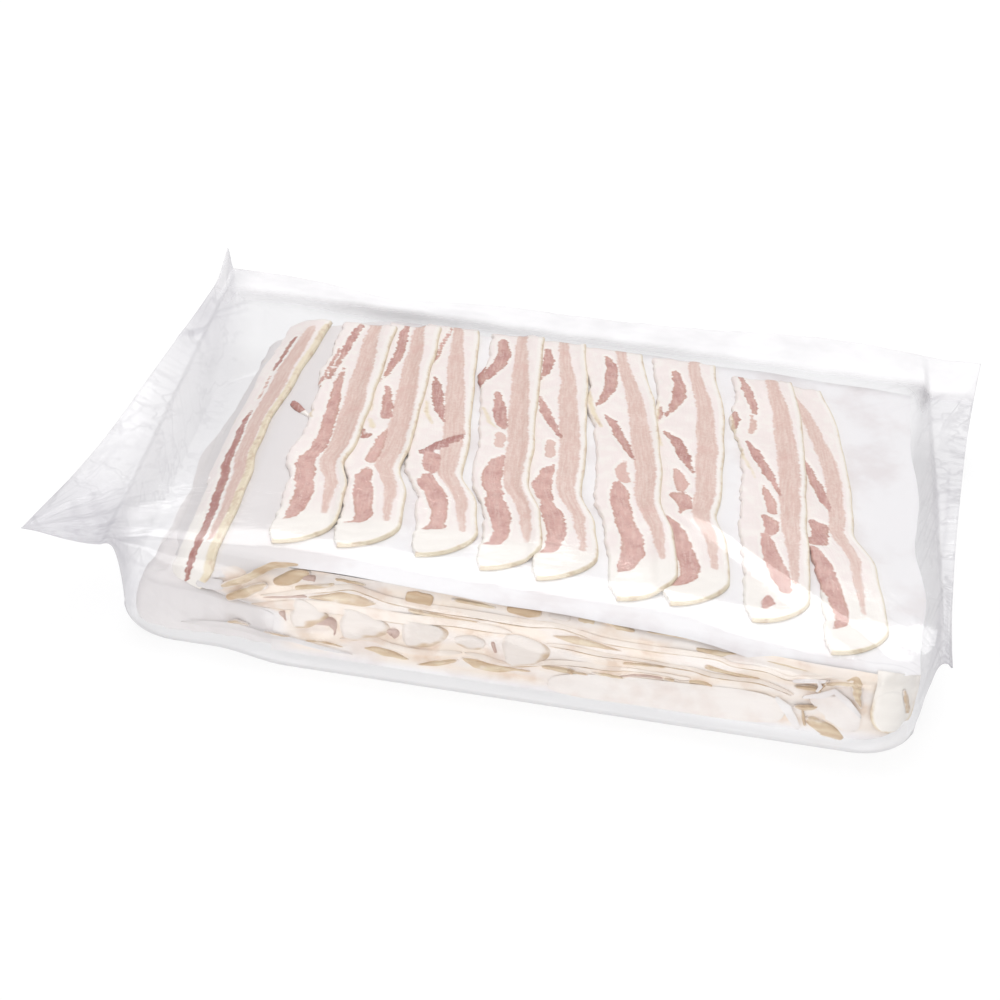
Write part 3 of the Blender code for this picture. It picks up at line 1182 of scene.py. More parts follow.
@dataclass
class TurnedCorner:
    """A lower sheet's corner, turned down round the stack's left front corner."""

    right_end: float = -0.140
    corner_x: float = -0.2370
    corner_y: float = -0.1365
    radius: float = 0.0145
    side_end: float = -0.070
    tucked: float = 0.20
    foot: float = 0.0030
    flare: float = 0.0060
    thickness: float = 0.0003
    heights: tuple[Pair, ...] = (
        (0.0, 0.0170), (0.10, 0.0260), (0.25, 0.0300), (0.49, 0.0360), (0.66, 0.0340), (0.80, 0.0270),
        (1.0, 0.0140),
    )

    def plan(self, along: float, out: float) -> Pair:
        """Gives a point of the corner's run, seen from above.

        Args:
            along: Share of the way from its right end, round the corner, to its back end.
            out: How far outside the run the point is.

        Returns:
            X and Y of the point.
        """
        front = self.right_end - self.corner_x
        arc = 0.5 * math.pi * self.radius
        run = along * (front + arc + self.side_end - self.corner_y)
        if run <= front:
            return self.right_end - run, self.corner_y - self.radius - out
        if run <= front + arc:
            angle = math.pi * 1.5 - (run - front) / self.radius
            reach = self.radius + out
            return self.corner_x + reach * math.cos(angle), self.corner_y + reach * math.sin(angle)
        return self.corner_x - self.radius - out, self.corner_y + run - front - arc

    def place(self, along: float, across: float) -> SlabPoint:
        """Gives a point of the turned paper.

        Args:
            along: Share of the way round the corner.
            across: Share of the way from the tucked edge down to the foot.

        Returns:
            Its two faces.
        """
        top = through(self.heights, along) + 0.0015 * wander(71.0, along, 0.22)
        half = 0.0 if on_rim(along, across) else self.thickness / 2
        if across < self.tucked:
            share = across / self.tucked
            z, out = top + 0.0012 * math.sin(math.pi * share), -0.030 * (1.0 - share)
            up, side = half, 0.0
        else:
            share = (across - self.tucked) / (1.0 - self.tucked)
            z = blend(top, self.foot + 0.0022 * (1.0 + wander(72.0, along, 0.15)), share)
            out = self.flare * share**0.8 + 0.0022 * math.sin(math.pi * share) * wander(73.0, along, 0.10)
            out += 0.0009 * wander(74.0, along + 0.3 * share, 0.045) * share
            up, side = 0.0, half
        over, under = self.plan(along, out + side), self.plan(along, out - side)
        return SlabPoint(Vector((*over, z + up)), Vector((*under, z - up)))

    def lay(self, piece: Piece) -> None:
        """Adds the turned paper to the lower sheets."""
        piece.lay_slab(110, 30, self.place, crisp=True)


@dataclass
class Sheets:
    """The greaseproof sheets, from the top one down."""

    lie: Lie
    drape: Drape
    columns: int = 120
    rows: int = 64
    thickness: float = 0.0003
    left: float = -0.252
    right: float = 0.250
    back: float = 0.166
    stray: float = 0.0040
    front_draw: float = 1.7
    overhang_at_top: float = 0.0075
    overhang_below: float = 0.0020
    front_corner: float = 0.032
    top_front_corner: float = 0.012
    zigzag_pitch: float = 0.023
    zigzag_depth: float = 0.0036
    smooth_layers: tuple[int, ...] = (0, 5, 6)

    def overhang(self, layer: int, x: float) -> float:
        """Gives how far a sheet reaches past the brink of the stack's front.

        Args:
            layer: The sheet's number, from 0 for the top one.
            x: Place along the stack.

        Returns:
            The reach, in metres.
        """
        if layer == 0:
            hanging = 0.012 * ease(-0.168, -0.198, x) + 0.0055 * ease(0.09, 0.16, x)
            return self.overhang_at_top + 0.0015 * wander(20.0, x, 0.10) + hanging
        return self.overhang_below + 0.0012 * wander(20.0 + layer, x, 0.10)

    def limp(self, layer: int, x: float) -> float:
        """Returns how steeply a sheet's front edge bends down, in radians."""
        if layer == 0:
            hanging = 0.65 * ease(-0.165, -0.195, x) + 0.40 * ease(0.09, 0.16, x)
            return 0.45 + 0.20 * wander(50.0, x, 0.07) + hanging
        return max(0.20 + 0.55 * wander(50.0 + layer, x, 0.07), -0.25)

    def crumpled(self, layer: int, x: float, y: float) -> float:
        """Gives the sharp folds at the right front corner.

        Args:
            layer: The sheet's number, from 0 for the top one.
            x: Place along the stack.
            y: Place across it.

        Returns:
            The lift of the sheet.
        """
        held = ease(0.140, 0.165, x) * ease(0.225, 0.212, x)
        held *= ease(-0.128, -0.148, y)
        if layer in self.smooth_layers or held <= 0.0:
            return 0.0
        phase = (x + 0.25 * y) / self.zigzag_pitch + 0.37 * layer
        zigzag = 4.0 * abs(phase - math.floor(phase + 0.5)) - 1.0
        return self.zigzag_depth * zigzag * held

    def outline(self, layer: int, along: float, across: float) -> Pair:
        """Gives a point of a sheet's plan.

        Args:
            layer: The sheet's number, from 0 for the top one.
            along: Share of its length.
            across: Share of its depth.

        Returns:
            X and Y of the point.
        """
        seed = 20.0 + layer
        rough_x = blend(self.left, self.right, along)
        front = self.drape.edge(layer, rough_x) - self.overhang(layer, rough_x)
        front += 0.026 * ease(-0.215, -0.250, rough_x)
        corner = self.front_corner if layer else self.top_front_corner
        front += corner * ease(0.205, 0.252, rough_x) ** 1.5
        back = self.back + self.stray * wander(seed + 8.0, rough_x, 0.12)
        back -= 0.028 * ease(-0.14, -0.235, rough_x)
        y = blend(front, back, across**self.front_draw)
        left = self.left - self.stray * (0.6 + wander(seed + 16.0, y, 0.09)) * (1.0 if layer else 0.4)
        left += 0.004 if layer == 0 else 0.0
        left += 0.016 * ease(0.02, 0.13, y)
        right = self.right + self.stray * wander(seed + 24.0, y, 0.09)
        return blend(left, right, along), y

    def build(self) -> list[bpy.types.Object]:
        """Lays all the sheets.

        Returns:
            The top sheet and the lower sheets.
        """
        material = SheetFinish().material()
        made = []
        for name, layers in (("top_sheet", (0,)), ("lower_sheets", range(1, self.lie.sheets))):
            piece = Piece(name, Slot.SHEET)
            for layer in layers:
                def place(along: float, across: float, layer: int = layer) -> SlabPoint:
                    """Gives a point of this sheet.

                    Args:
                        along: Share of the way along it.
                        across: Share of the way across it.
                        layer: The sheet's number.

                    Returns:
                        Its two faces.
                    """
                    x, y = self.outline(layer, along, across)
                    half = 0.0 if on_rim(along, across) else self.thickness / 2
                    lift = self.crumpled(layer, x, y)
                    limp = self.limp(layer, x)
                    return SlabPoint(
                        self.drape.lay(layer, (x, y), lift + half, limp),
                        self.drape.lay(layer, (x, y), lift - half, limp),
                    )

                fine = 1 if layer else 2
                piece.lay_slab(self.columns * fine, self.rows * fine, place, crisp=True)
            if name == "lower_sheets":
                TurnedCorner().lay(piece)
            made.append(piece.finish(material))
        return made


@dataclass(frozen=True)
class FrontStyle:
    """How the slices of one lower sheet end at the stack's front, in millimetres."""

    reach: float
    spread: float
    limp: float
    hook_depth: float
    hook_width: float
    rind: float
    shift: float


@dataclass
class LowerSlices:
    """The slices on the sheets below, which show at the stack's sides."""

    lie: Lie
    drape: Drape
    per_sheet: int = 10
    pitch: float = 44.5
    columns: int = 60
    rows: int = 10
    first_rind: float = -186.0
    styles: tuple[FrontStyle, ...] = (
        FrontStyle(-5.0, 1.5, 0.35, 22.0, 46.0, 4.2, 34.0),
        FrontStyle(-5.0, 1.5, 0.30, 20.0, 44.0, 4.0, 12.0),
        FrontStyle(-5.0, 1.5, 0.30, 22.0, 40.0, 3.4, 13.0),
        FrontStyle(-5.0, 1.5, 0.30, 20.0, 44.0, 4.0, 4.0),
        FrontStyle(-5.0, 1.5, 0.20, 20.0, 44.0, 4.2, -12.0),
        FrontStyle(-5.0, 1.0, 0.10, 20.0, 44.0, 4.2, 20.0),
    )

    def cut(self, layer: int, number: int) -> SliceCut:
        """Works out how one slice of a lower sheet lies.

        Args:
            layer: The sheet's number.
            number: The slice's number on it.

        Returns:
            The slice's cut.
        """
        seed = layer * 17.0 + number
        style = self.styles[layer - 1]
        rind_x = self.first_rind + style.shift + self.pitch * number + 4.0 * wander(seed, 0.0, 1.0)
        brink = self.drape.edge(layer, rind_x * MM) / MM
        reach = style.reach + style.spread * wander(seed + 3.0, 5.0, 1.0)
        front = brink - reach + 34.0 * ease(180.0, 212.0, rind_x)
        lean = (
            Streak(0.55, ((150, 28, 4), (95, 33, 3))),
            Streak(0.60, ((80, 31, 4), (40, 23, 2))),
            Streak(0.50, ((5.0, 24.0, 5.0), (-60.0, 27.0, 7.0), (front + 38.0, 30.0, 7.0),
                (front + 17.0, 37.0, 5.0), (front + 7.0, 43.0, 2.0))),
        )
        return SliceCut(
            number=100 + layer * 20 + number,
            rind_x=rind_x,
            lean=-0.03 + 0.05 * wander(seed + 5.0, 1.0, 1.0),
            back_bend=0.0,
            dip=0.0,
            kink=4.0 + 4.0 * wander(seed + 7.0, 2.0, 1.0),
            width=42.0 + 3.0 * wander(seed + 9.0, 3.0, 1.0),
            back=152.0 + 7.0 * wander(seed + 11.0, 4.0, 1.0),
            front=front,
            patches=lean,
            rind=style.rind,
            hook=(style.hook_depth, style.hook_width),
        )

    def build(self) -> bpy.types.Object:
        """Lays all the lower slices.

        Returns:
            The finished piece.
        """
        piece = Piece("lower_slices", Slot.SLICE)
        for layer in range(1, self.lie.sheets):
            for number in range(self.per_sheet):
                cut = self.cut(layer, number)
                style = self.styles[layer - 1]

                def lay(
                    x: float, y: float, lift: float, layer: int = layer, limp: float = style.limp
                ) -> Vector:
                    """Returns the point at that height over the sheet under the slice."""
                    return self.drape.lay(layer, (x, y), ON_SHEET + lift, limp)

                shape = SliceShape(
                    cut, lay, self.columns, self.rows, thickness=0.0030, front_draw=1.8,
                )
                piece.lay_slab(self.columns, self.rows, shape.place)
        return piece.finish(SliceFinish().material())


@dataclass
class BagFilm:
    """The clear film bag: two panels that meet at two folds and two seals."""

    length_cells: tuple[int, ...] = (44, 14, 140, 14, 30)
    depth_cells: int = 134
    wall_cells: int = 28
    end_clearance: Pair = (0.029, 0.016)
    foot_front: float = 0.0245
    foot_back: float = 0.012
    foot_height: float = 0.0022
    foot_corner: float = 0.045
    top_height: float = 0.0652
    back_fold_height: float = 0.058
    left_seal_out: Pair = (0.034, 0.081)
    right_seal_out: Pair = (0.0195, 0.057)
    left_seal_height: Pair = (0.059, 0.064)
    right_seal_height: Pair = (0.055, 0.060)
    flange_root_height: float = 0.057
    flange_gap: float = 0.0012
    ear_rise: float = 0.013
    wall_run: Pair = (0.008, 0.007)
    wall_bulge: float = 0.62
    crease_depth: float = 0.0007
    smoothing: int = 8
    shoulder_from: float = -0.1215
    shoulder_slope: float = 0.215
    lip_drop: float = 0.0026
    lip_width: float = 0.0022
    front_fold: tuple[Pair, ...] = (
        (-0.262, -0.151), (-0.246, -0.144), (-0.200, -0.1405), (-0.140, -0.1395),
        (-0.100, -0.1420), (-0.050, -0.1440), (0.050, -0.1445), (0.100, -0.1480),
        (0.130, -0.1530), (0.180, -0.1575), (0.213, -0.1595), (0.235, -0.1560), (0.264, -0.1400),
    )
    # Long folds in the film: a fold's tone sets how far it is lifted and how much painted shade it gets.
    folds: tuple[Streak, ...] = (
        Streak(0.55, ((-306, -114, 1.5), (-298, -130, 3.4), (-289, -143, 1.5))),
        Streak(0.45, ((-297, -100, 1.2), (-285, -120, 3), (-272, -138, 1.2))),
        Streak(0.60, ((-331, -147, 0.8), (-303, -150, 2.2), (-278, -149, 3), (-255, -144, 2.2),
            (-236, -130, 0.8))),
        Streak(0.75, ((-293, 90, 0.8), (-281, 112, 2.8), (-272, 129, 2.2), (-252, 152, 0.8))),
        Streak(0.45, ((-292, 100, 0.8), (-275, 118, 1.8), (-250, 140, 0.8))),
        Streak(0.60, ((-285, 216, 1), (-276, 195, 2.6), (-270, 166, 0.8))),
        Streak(0.35, ((262, 95, 0.8), (264.5, 59, 1.8), (265, 12, 1.6), (256, -36, 0.8))),
        Streak(0.30, ((275, 73, 0.8), (270, 1, 1.6), (263, -50, 0.8))),
        Streak(0.35, ((300, 205, 0.8), (284, 180, 2), (262, 160, 0.8))),
        Streak(0.55, ((264, -66, 1), (260, -108, 3), (254, -142, 1.6))),
    )
    corners: tuple[Pair, ...] = ((-0.331, -0.150), (-0.284, 0.212), (0.307, 0.212), (0.267, -0.150))
    corner_reach: tuple[float, ...] = (0.085, 0.060, 0.075, 0.050)

    def sweep(self, share: float) -> float:
        """Returns how far a seal has swung out at a share of its run."""
        return max(share, 0.0) ** 1.6

    def front_fold_y(self, x: float) -> float:
        """Returns the Y of the front fold, which turns slightly along the bag."""
        return through(self.front_fold, x)

    def lid(self, x: float, y: float) -> float:
        """Gives how high the film's front edge leaves room for what it holds.

        Args:
            x: Place along the stack.
            y: Place across it, before or behind the front fold.

        Returns:
            The height of the film there.
        """
        fold = self.front_fold_y(x)
        height = self.over_stack(x, max(y, fold))
        if y < fold:
            front = self.corner_cut(x) - STACK_DEPTH / 2 - self.foot_front
            share = min((fold - y) / (fold - front), 1.0) ** (1.0 / self.wall_bulge)
            height = blend(height, self.foot_height, share)
        return height

    def back_fold_y(self, x: float) -> float:
        """Returns the Y of the back fold, which swells out on the right."""
        return 0.212 + 0.020 * bump(0.20, 0.11, x) - 0.012 * bump(-0.15, 0.05, x)

    def corner_cut(self, x: float) -> float:
        """Gives how far the foot's rounded corners draw its sides in.

        Args:
            x: Place along the stack.

        Returns:
            The distance.
        """
        side = 0 if x < 0.0 else 1
        straight = STACK_LENGTH / 2 + self.end_clearance[side] - self.wall_run[side] - self.foot_corner
        past = min(max(abs(x) - straight, 0.0), self.foot_corner)
        return self.foot_corner - math.sqrt(self.foot_corner**2 - past**2)

    def station(self, index: int, across: float) -> Pair:
        """Gives the X of a cell line and how far it is inside the body.

        Args:
            index: The cell line, counted from the left seal.
            across: Share of the way from the front fold to the back one.

        Returns:
            X, and 0 on the flanges to 1 on the body.
        """
        left_wall = -STACK_LENGTH / 2 - self.end_clearance[0]
        right_wall = STACK_LENGTH / 2 + self.end_clearance[1]
        stops = (
            -STACK_LENGTH / 2 - blend(*self.left_seal_out, self.sweep(1.0 - across)),
            left_wall,
            left_wall + self.wall_run[0],
            right_wall - self.wall_run[1],
            right_wall,
            STACK_LENGTH / 2 + blend(*self.right_seal_out, self.sweep(across)),
        )
        run = 0
        while index > self.length_cells[run]:
            index -= self.length_cells[run]
            run += 1
        x = blend(stops[run], stops[run + 1], index / self.length_cells[run])
        inside_left = ease(stops[1], stops[2], x)
        inside_right = 1.0 - ease(stops[3], stops[4], x)
        return x, min(inside_left, inside_right)

    def flange_height(self, x: float, across: float) -> float:
        """Gives the height of the closed film past the stack's ends.

        Args:
            x: Place along the stack.
            across: Share of the way from the front fold to the back one.

        Returns:
            The height.
        """
        if x < 0.0:
            seal = blend(*self.left_seal_height, across)
            seal += self.ear_rise * ease(0.90, 1.0, across)
            root, outer = self.end_clearance[0], blend(*self.left_seal_out, self.sweep(1.0 - across))
        else:
            seal = blend(*self.right_seal_height, across)
            root, outer = self.end_clearance[1], blend(*self.right_seal_out, self.sweep(across))
        share = ease(root, outer, abs(x) - STACK_LENGTH / 2)
        wave = 0.002 * math.sin(9.0 * across + 14.0 * x)
        return blend(self.flange_root_height, seal, share) + wave * share

    def over_stack(self, x: float, y: float) -> float:
        """Gives the height of the top film over the stack and its back fold.

        Args:
            x: Place along the stack.
            y: Place across it.

        Returns:
            The height.
        """
        fold = self.front_fold_y(x)
        lip = self.lip_drop * math.exp((fold - y) / self.lip_width)
        sloped = ease(-0.215, -0.165, x)
        slope = self.shoulder_slope * max(self.shoulder_from - max(y, fold), 0.0) * sloped
        height = self.top_height - lip - slope
        behind = ease(0.168, self.back_fold_y(x), y)
        pitch = STACK_LENGTH / 10
        phase = 2.0 * math.pi * (x + 0.12 * x * y / STACK_DEPTH) / pitch
        over = ease(0.030, 0.070, y - fold) * (1.0 - behind)
        return blend(height, self.back_fold_height, behind) + 0.0005 * math.sin(phase) * over

    def top_point(self, index: int, row: int) -> Vector:
        """Gives a point of the top panel.

        Args:
            index: The cell line along the bag.
            row: The cell line across it.

        Returns:
            The point.
        """
        across = row / self.depth_cells
        x, inside = self.station(index, across)
        y = blend(self.front_fold_y(x), self.back_fold_y(x), across)
        closed = self.flange_height(x, across) + self.flange_gap / 2 * self.off_rim(index, row)
        return Vector((x, y, blend(closed, self.over_stack(x, y), inside)))

    def under_point(self, index: int, row: int) -> Vector:
        """Gives a point of the bottom panel, round the stack's foot.

        Args:
            index: The cell line along the bag.
            row: The cell line across it.

        Returns:
            The point.
        """
        across = row / self.depth_cells
        x, inside = self.station(index, across)
        flat_y = blend(self.front_fold_y(x), self.back_fold_y(x), across)
        belly = 0.010 * bump(-0.292, 0.022, x) * bump(0.10, 0.12, across)
        tab = 0.008 * bump(0.267, 0.02, x) * bump(0.05, 0.10, across)
        drop = self.flange_gap / 2 + belly + tab
        closed = self.flange_height(x, across) - drop * self.off_rim(index, row)
        front = self.corner_cut(x) - STACK_DEPTH / 2 - self.foot_front
        front += 0.008 * ease(-0.150, -0.200, x)
        back = STACK_DEPTH / 2 + self.foot_back - self.corner_cut(x)
        last = self.depth_cells - self.wall_cells
        if self.wall_cells < row < last:
            share = (row - self.wall_cells - 1) / (last - self.wall_cells - 2)
            y, z = blend(front + 0.004, back - 0.004, share), 0.0
        elif row <= self.wall_cells:
            share = row / self.wall_cells
            fold = self.front_fold_y(x)
            y = blend(fold, front, share**self.wall_bulge)
            z = blend(self.over_stack(x, fold), self.foot_height, share)
        else:
            share = (self.depth_cells - row) / self.wall_cells
            y = blend(self.back_fold_y(x), back, share)
            z = blend(self.back_fold_height, self.foot_height, share)
        return Vector((x, blend(flat_y, y, inside), blend(closed, z, inside)))

    def off_rim(self, index: int, row: int) -> float:
        """Returns 0 on a panel's outer edge and 1 a few cells in from it."""
        columns = sum(self.length_cells)
        return min(min(index, columns - index, row, self.depth_cells - row) / 5.0, 1.0)

    def fan(self, x: float, y: float) -> tuple[float, float, float]:
        """Gives a place's polar coordinates about the nearest corner of the bag.

        Args:
            x: Place along the stack.
            y: Place across it.

        Returns:
            The turn about the corner, the distance from it, and how strongly
            that corner pulls there.
        """
        away, number = min(
            (math.hypot(x - at_x, y - at_y), number)
            for number, (at_x, at_y) in enumerate(self.corners)
        )
        at_x, at_y = self.corners[number]
        turn = math.atan2(y - at_y, (x - at_x) if at_x < 0.0 else (at_x - x))
        return turn + 4.0 * number, away, bump(0.0, self.corner_reach[number], away)

    def corner_fans(self, x: float, y: float) -> float:
        """Gives the tension creases that fan out from the bag's corners.

        Args:
            x: Place along the stack.
            y: Place across it.

        Returns:
            Their relief.
        """
        turn, away, pull = self.fan(x, y)
        wave = abs(math.sin(5.5 * turn + 0.5 * wander(4.0, turn, 0.6)))
        return (1.0 - 1.6 * wave) * pull * ease(0.0, 0.03, away)

    def slant_fold(self, x: float, y: float) -> float:
        """Gives the long crease from the right front corner over the last slices.

        Args:
            x: Place along the stack.
            y: Place across it.

        Returns:
            Its relief.
        """
        run = Vector((0.145, -0.127)).normalized()
        at = Vector((x - 0.097, y + 0.030))
        along = at.dot(run)
        aside = at.dot(Vector((run.y, -run.x)))
        held = ease(-0.012, 0.03, along) * (1.0 - ease(0.165, 0.195, along))
        ridge = 0.0011 * math.exp(-abs(aside) / 0.004)
        wide = 0.007 + 0.006 * ease(0.0, 0.10, along)
        fall = 0.17 * wide * min(max(aside / wide, 0.0), 1.0)
        back = 0.17 * wide * ease(wide, wide + 0.07, aside)
        return (ridge - fall + back) * held

    def flange_creases(self, x: float, y: float) -> float:
        """Gives the long soft creases of the two flanges.

        Args:
            x: Place along the stack.
            y: Place across it.

        Returns:
            Their relief.
        """
        left = ease(-0.250, -0.285, x)
        right = ease(0.245, 0.262, x)
        share = max(left, right)
        if share <= 0.0:
            return 0.0
        turn, away, pull = self.fan(x, y)
        ray = wander(1.0, turn, 0.70) * pull * ease(0.0, 0.05, away)
        wide = mottle(1.0, x * 0.5, y, 0.085)
        ripple = wander(2.0, y + 0.25 * x, 0.011) * bump(-0.01, 0.07, y) * ease(-0.285, -0.300, x)
        fine = crumple(2.0, x * 0.6, y, 0.026) * right
        return share * (0.0008 * ray + 0.0009 * wide + 0.00010 * ripple + 0.0004 * fine)

    def folded(self, x: float, y: float) -> float:
        """Gives the long folds pressed in the film, which lift it and carry painted shade.

        Args:
            x: Place along the stack.
            y: Place across it.

        Returns:
            0 on plain film, up to the fold's tone on a fold.
        """
        if -0.245 < x < 0.245:
            return 0.0
        at_x, at_y = x / MM, y / MM
        return max(fold.tone * ease(-1.6, 1.8, fold.depth(at_x, at_y)) for fold in self.folds)

    def crease(self, x: float, y: float) -> float:
        """Adds up all the top creases.

        Args:
            x: Place along the stack.
            y: Place across it.

        Returns:
            The lift of the film.
        """
        broad = 0.0005 * mottle(5.0, x, y, 0.05)
        back = ease(0.165, 0.20, y) * 0.0008 * wander(9.0, x + 0.2 * y, 0.040)
        return (
            self.crease_depth * self.corner_fans(x, y)
            + self.slant_fold(x, y)
            + self.flange_creases(x, y)
            + 0.0012 * self.folded(x, y)
            + broad
            + back
        )

    def wall_crease(self, x: float, z: float) -> float:
        """Returns how far the side walls stand in or out at a place."""
        drape = 0.0012 * wander(30.0, x + 0.25 * z, 0.035) + 0.0006 * mottle(31.0, x, z, 0.014)
        return drape * ease(0.001, 0.02, z)

    def looks(self, x: float, y: float, z: float) -> dict[str, float]:
        """Gives the film's crease masks, its painted shade and its haze, which is partly painted glare, at
        a place.

        Args:
            x: Place along the stack.
            y: Place across it.
            z: Height.

        Returns:
            The value of each of the film's marks.
        """
        turn, away, pull = self.fan(x, y)
        left = ease(-0.252, -0.275, x)
        right = ease(0.250, 0.266, x)
        across = (y + 0.150) / 0.360
        if x < 0.0:
            edge = STACK_LENGTH / 2 + blend(*self.left_seal_out, self.sweep(1.0 - across)) + x
        else:
            edge = STACK_LENGTH / 2 + blend(*self.right_seal_out, self.sweep(across)) - x
        high = ease(0.035, 0.052, z)
        tent = ease(0.160, 0.178, y) * high
        # Painted shade: the film is greyed on both flanges, at the left front corner, near the floor and
        # along its pressed folds.
        painted_shade = left * (0.28 + 0.75 * ease(-0.060, -0.135, y) + 0.38 * bump(0.135, 0.045, y))
        painted_shade += right * (0.30 + 0.40 * ease(-0.07, -0.13, y))
        corner = bump(-0.245, 0.040, x) * ease(-0.115, -0.145, y)
        painted_shade += 0.30 * corner * ease(0.010, 0.030, z)
        painted_shade += 0.10 * ease(0.012, 0.0, z) + 1.1 * self.folded(x, y) * high
        sealed = 0.22 * left * bump(0.0, 0.08, y) + 0.35 * right
        return {
            "fan_turn": turn,
            "fan_away": away,
            "pull": min(1.0, 1.5 * pull) * ease(0.004, 0.012, away) * high * (0.30 + 0.2 * right),
            "seal": sealed * ease(0.045, 0.004, edge),
            "seal_away": edge,
            "seal_run": y,
            "painted_shade": painted_shade,
            "dull": max(left, right, 0.8 * tent),
            # Haze: painted glare on the tent at the back, and a faint real haze on the flanges.
            "haze_and_glare": 0.85 * tent * (1.0 - 0.8 * left) + 0.10 * max(left, right),
        }

    def build(self) -> bpy.types.Object:
        """Builds the bag as one closed skin.

        Returns:
            The finished piece.
        """
        piece = Piece("film_bag", Slot.FILM)
        columns = sum(self.length_cells)
        names = (
            "fan_turn", "fan_away", "pull", "seal", "seal_away", "seal_run", "painted_shade", "dull", "haze_and_glare",
        )
        marks = {name: piece.attribute(name) for name in names}

        def place(along: float, across: float) -> SlabPoint:
            """Returns the points of both panels at a place."""
            cell = round(along * columns), round(across * self.depth_cells)
            return SlabPoint(self.top_point(*cell), self.under_point(*cell))

        verts = piece.lay_slab(columns, self.depth_cells, place)
        loose = [vert for vert in verts if vert.co.z > 0.0]
        for _ in range(self.smoothing):
            bmesh.ops.smooth_vert(
                piece.shape, verts=loose, factor=0.5, use_axis_x=True, use_axis_y=True,
                use_axis_z=True,
            )
        piece.shape.normal_update()
        normals = {vert: vert.normal.copy() for vert in loose}
        for vert in loose:
            normal = normals[vert]
            flat = ease(0.35, 0.75, abs(normal.z))
            closed = ease(0.25, 0.268, abs(vert.co.x))
            level = max(flat if normal.z > 0.0 else 0.0, closed)
            lift = self.crease(vert.co.x, vert.co.y) * level
            side = self.wall_crease(vert.co.x, vert.co.z) * (1.0 - level)
            vert.co.z += lift
            vert.co.x += normal.x * side
            vert.co.y += normal.y * side
        for vert in piece.shape.verts:
            for name, value in self.looks(vert.co.x, vert.co.y, vert.co.z).items():
                vert[marks[name]] = value
        return piece.finish(FilmFinish().material())


class Stuff(Enum):
    """What a strip at the stack's front is made of, and how bluntly it ends."""

    PAPER = ("paper", 12)
    FOLD = ("crisply folded paper", 30)
    RIND = ("rind", 14)
    FAT = ("fat", 6)
    LEAN = ("lean", 8)

    @property
    def blunt(self) -> int:
        """Returns the power that sets how bluntly a strip of it ends."""
        return self.value[1]

    @property
    def is_paper(self) -> bool:
        """Returns whether it is paper and not meat."""
        return self in (Stuff.PAPER, Stuff.FOLD)


@dataclass(frozen=True)
class FrontStrip:
    """One strip that shows at the stack's front: its run of X and seen height."""

    stuff: Stuff
    run: Streak
    out: float = 1.0


def front_strips(
    stuff: Stuff, tone: float, out: float, *runs: tuple[tuple[float, float, float], ...]
) -> tuple[FrontStrip, ...]:
    """Returns a front strip of that stuff, tone and reach for each run of nodes."""
    return tuple(FrontStrip(stuff, Streak(tone, run), out) for run in runs)


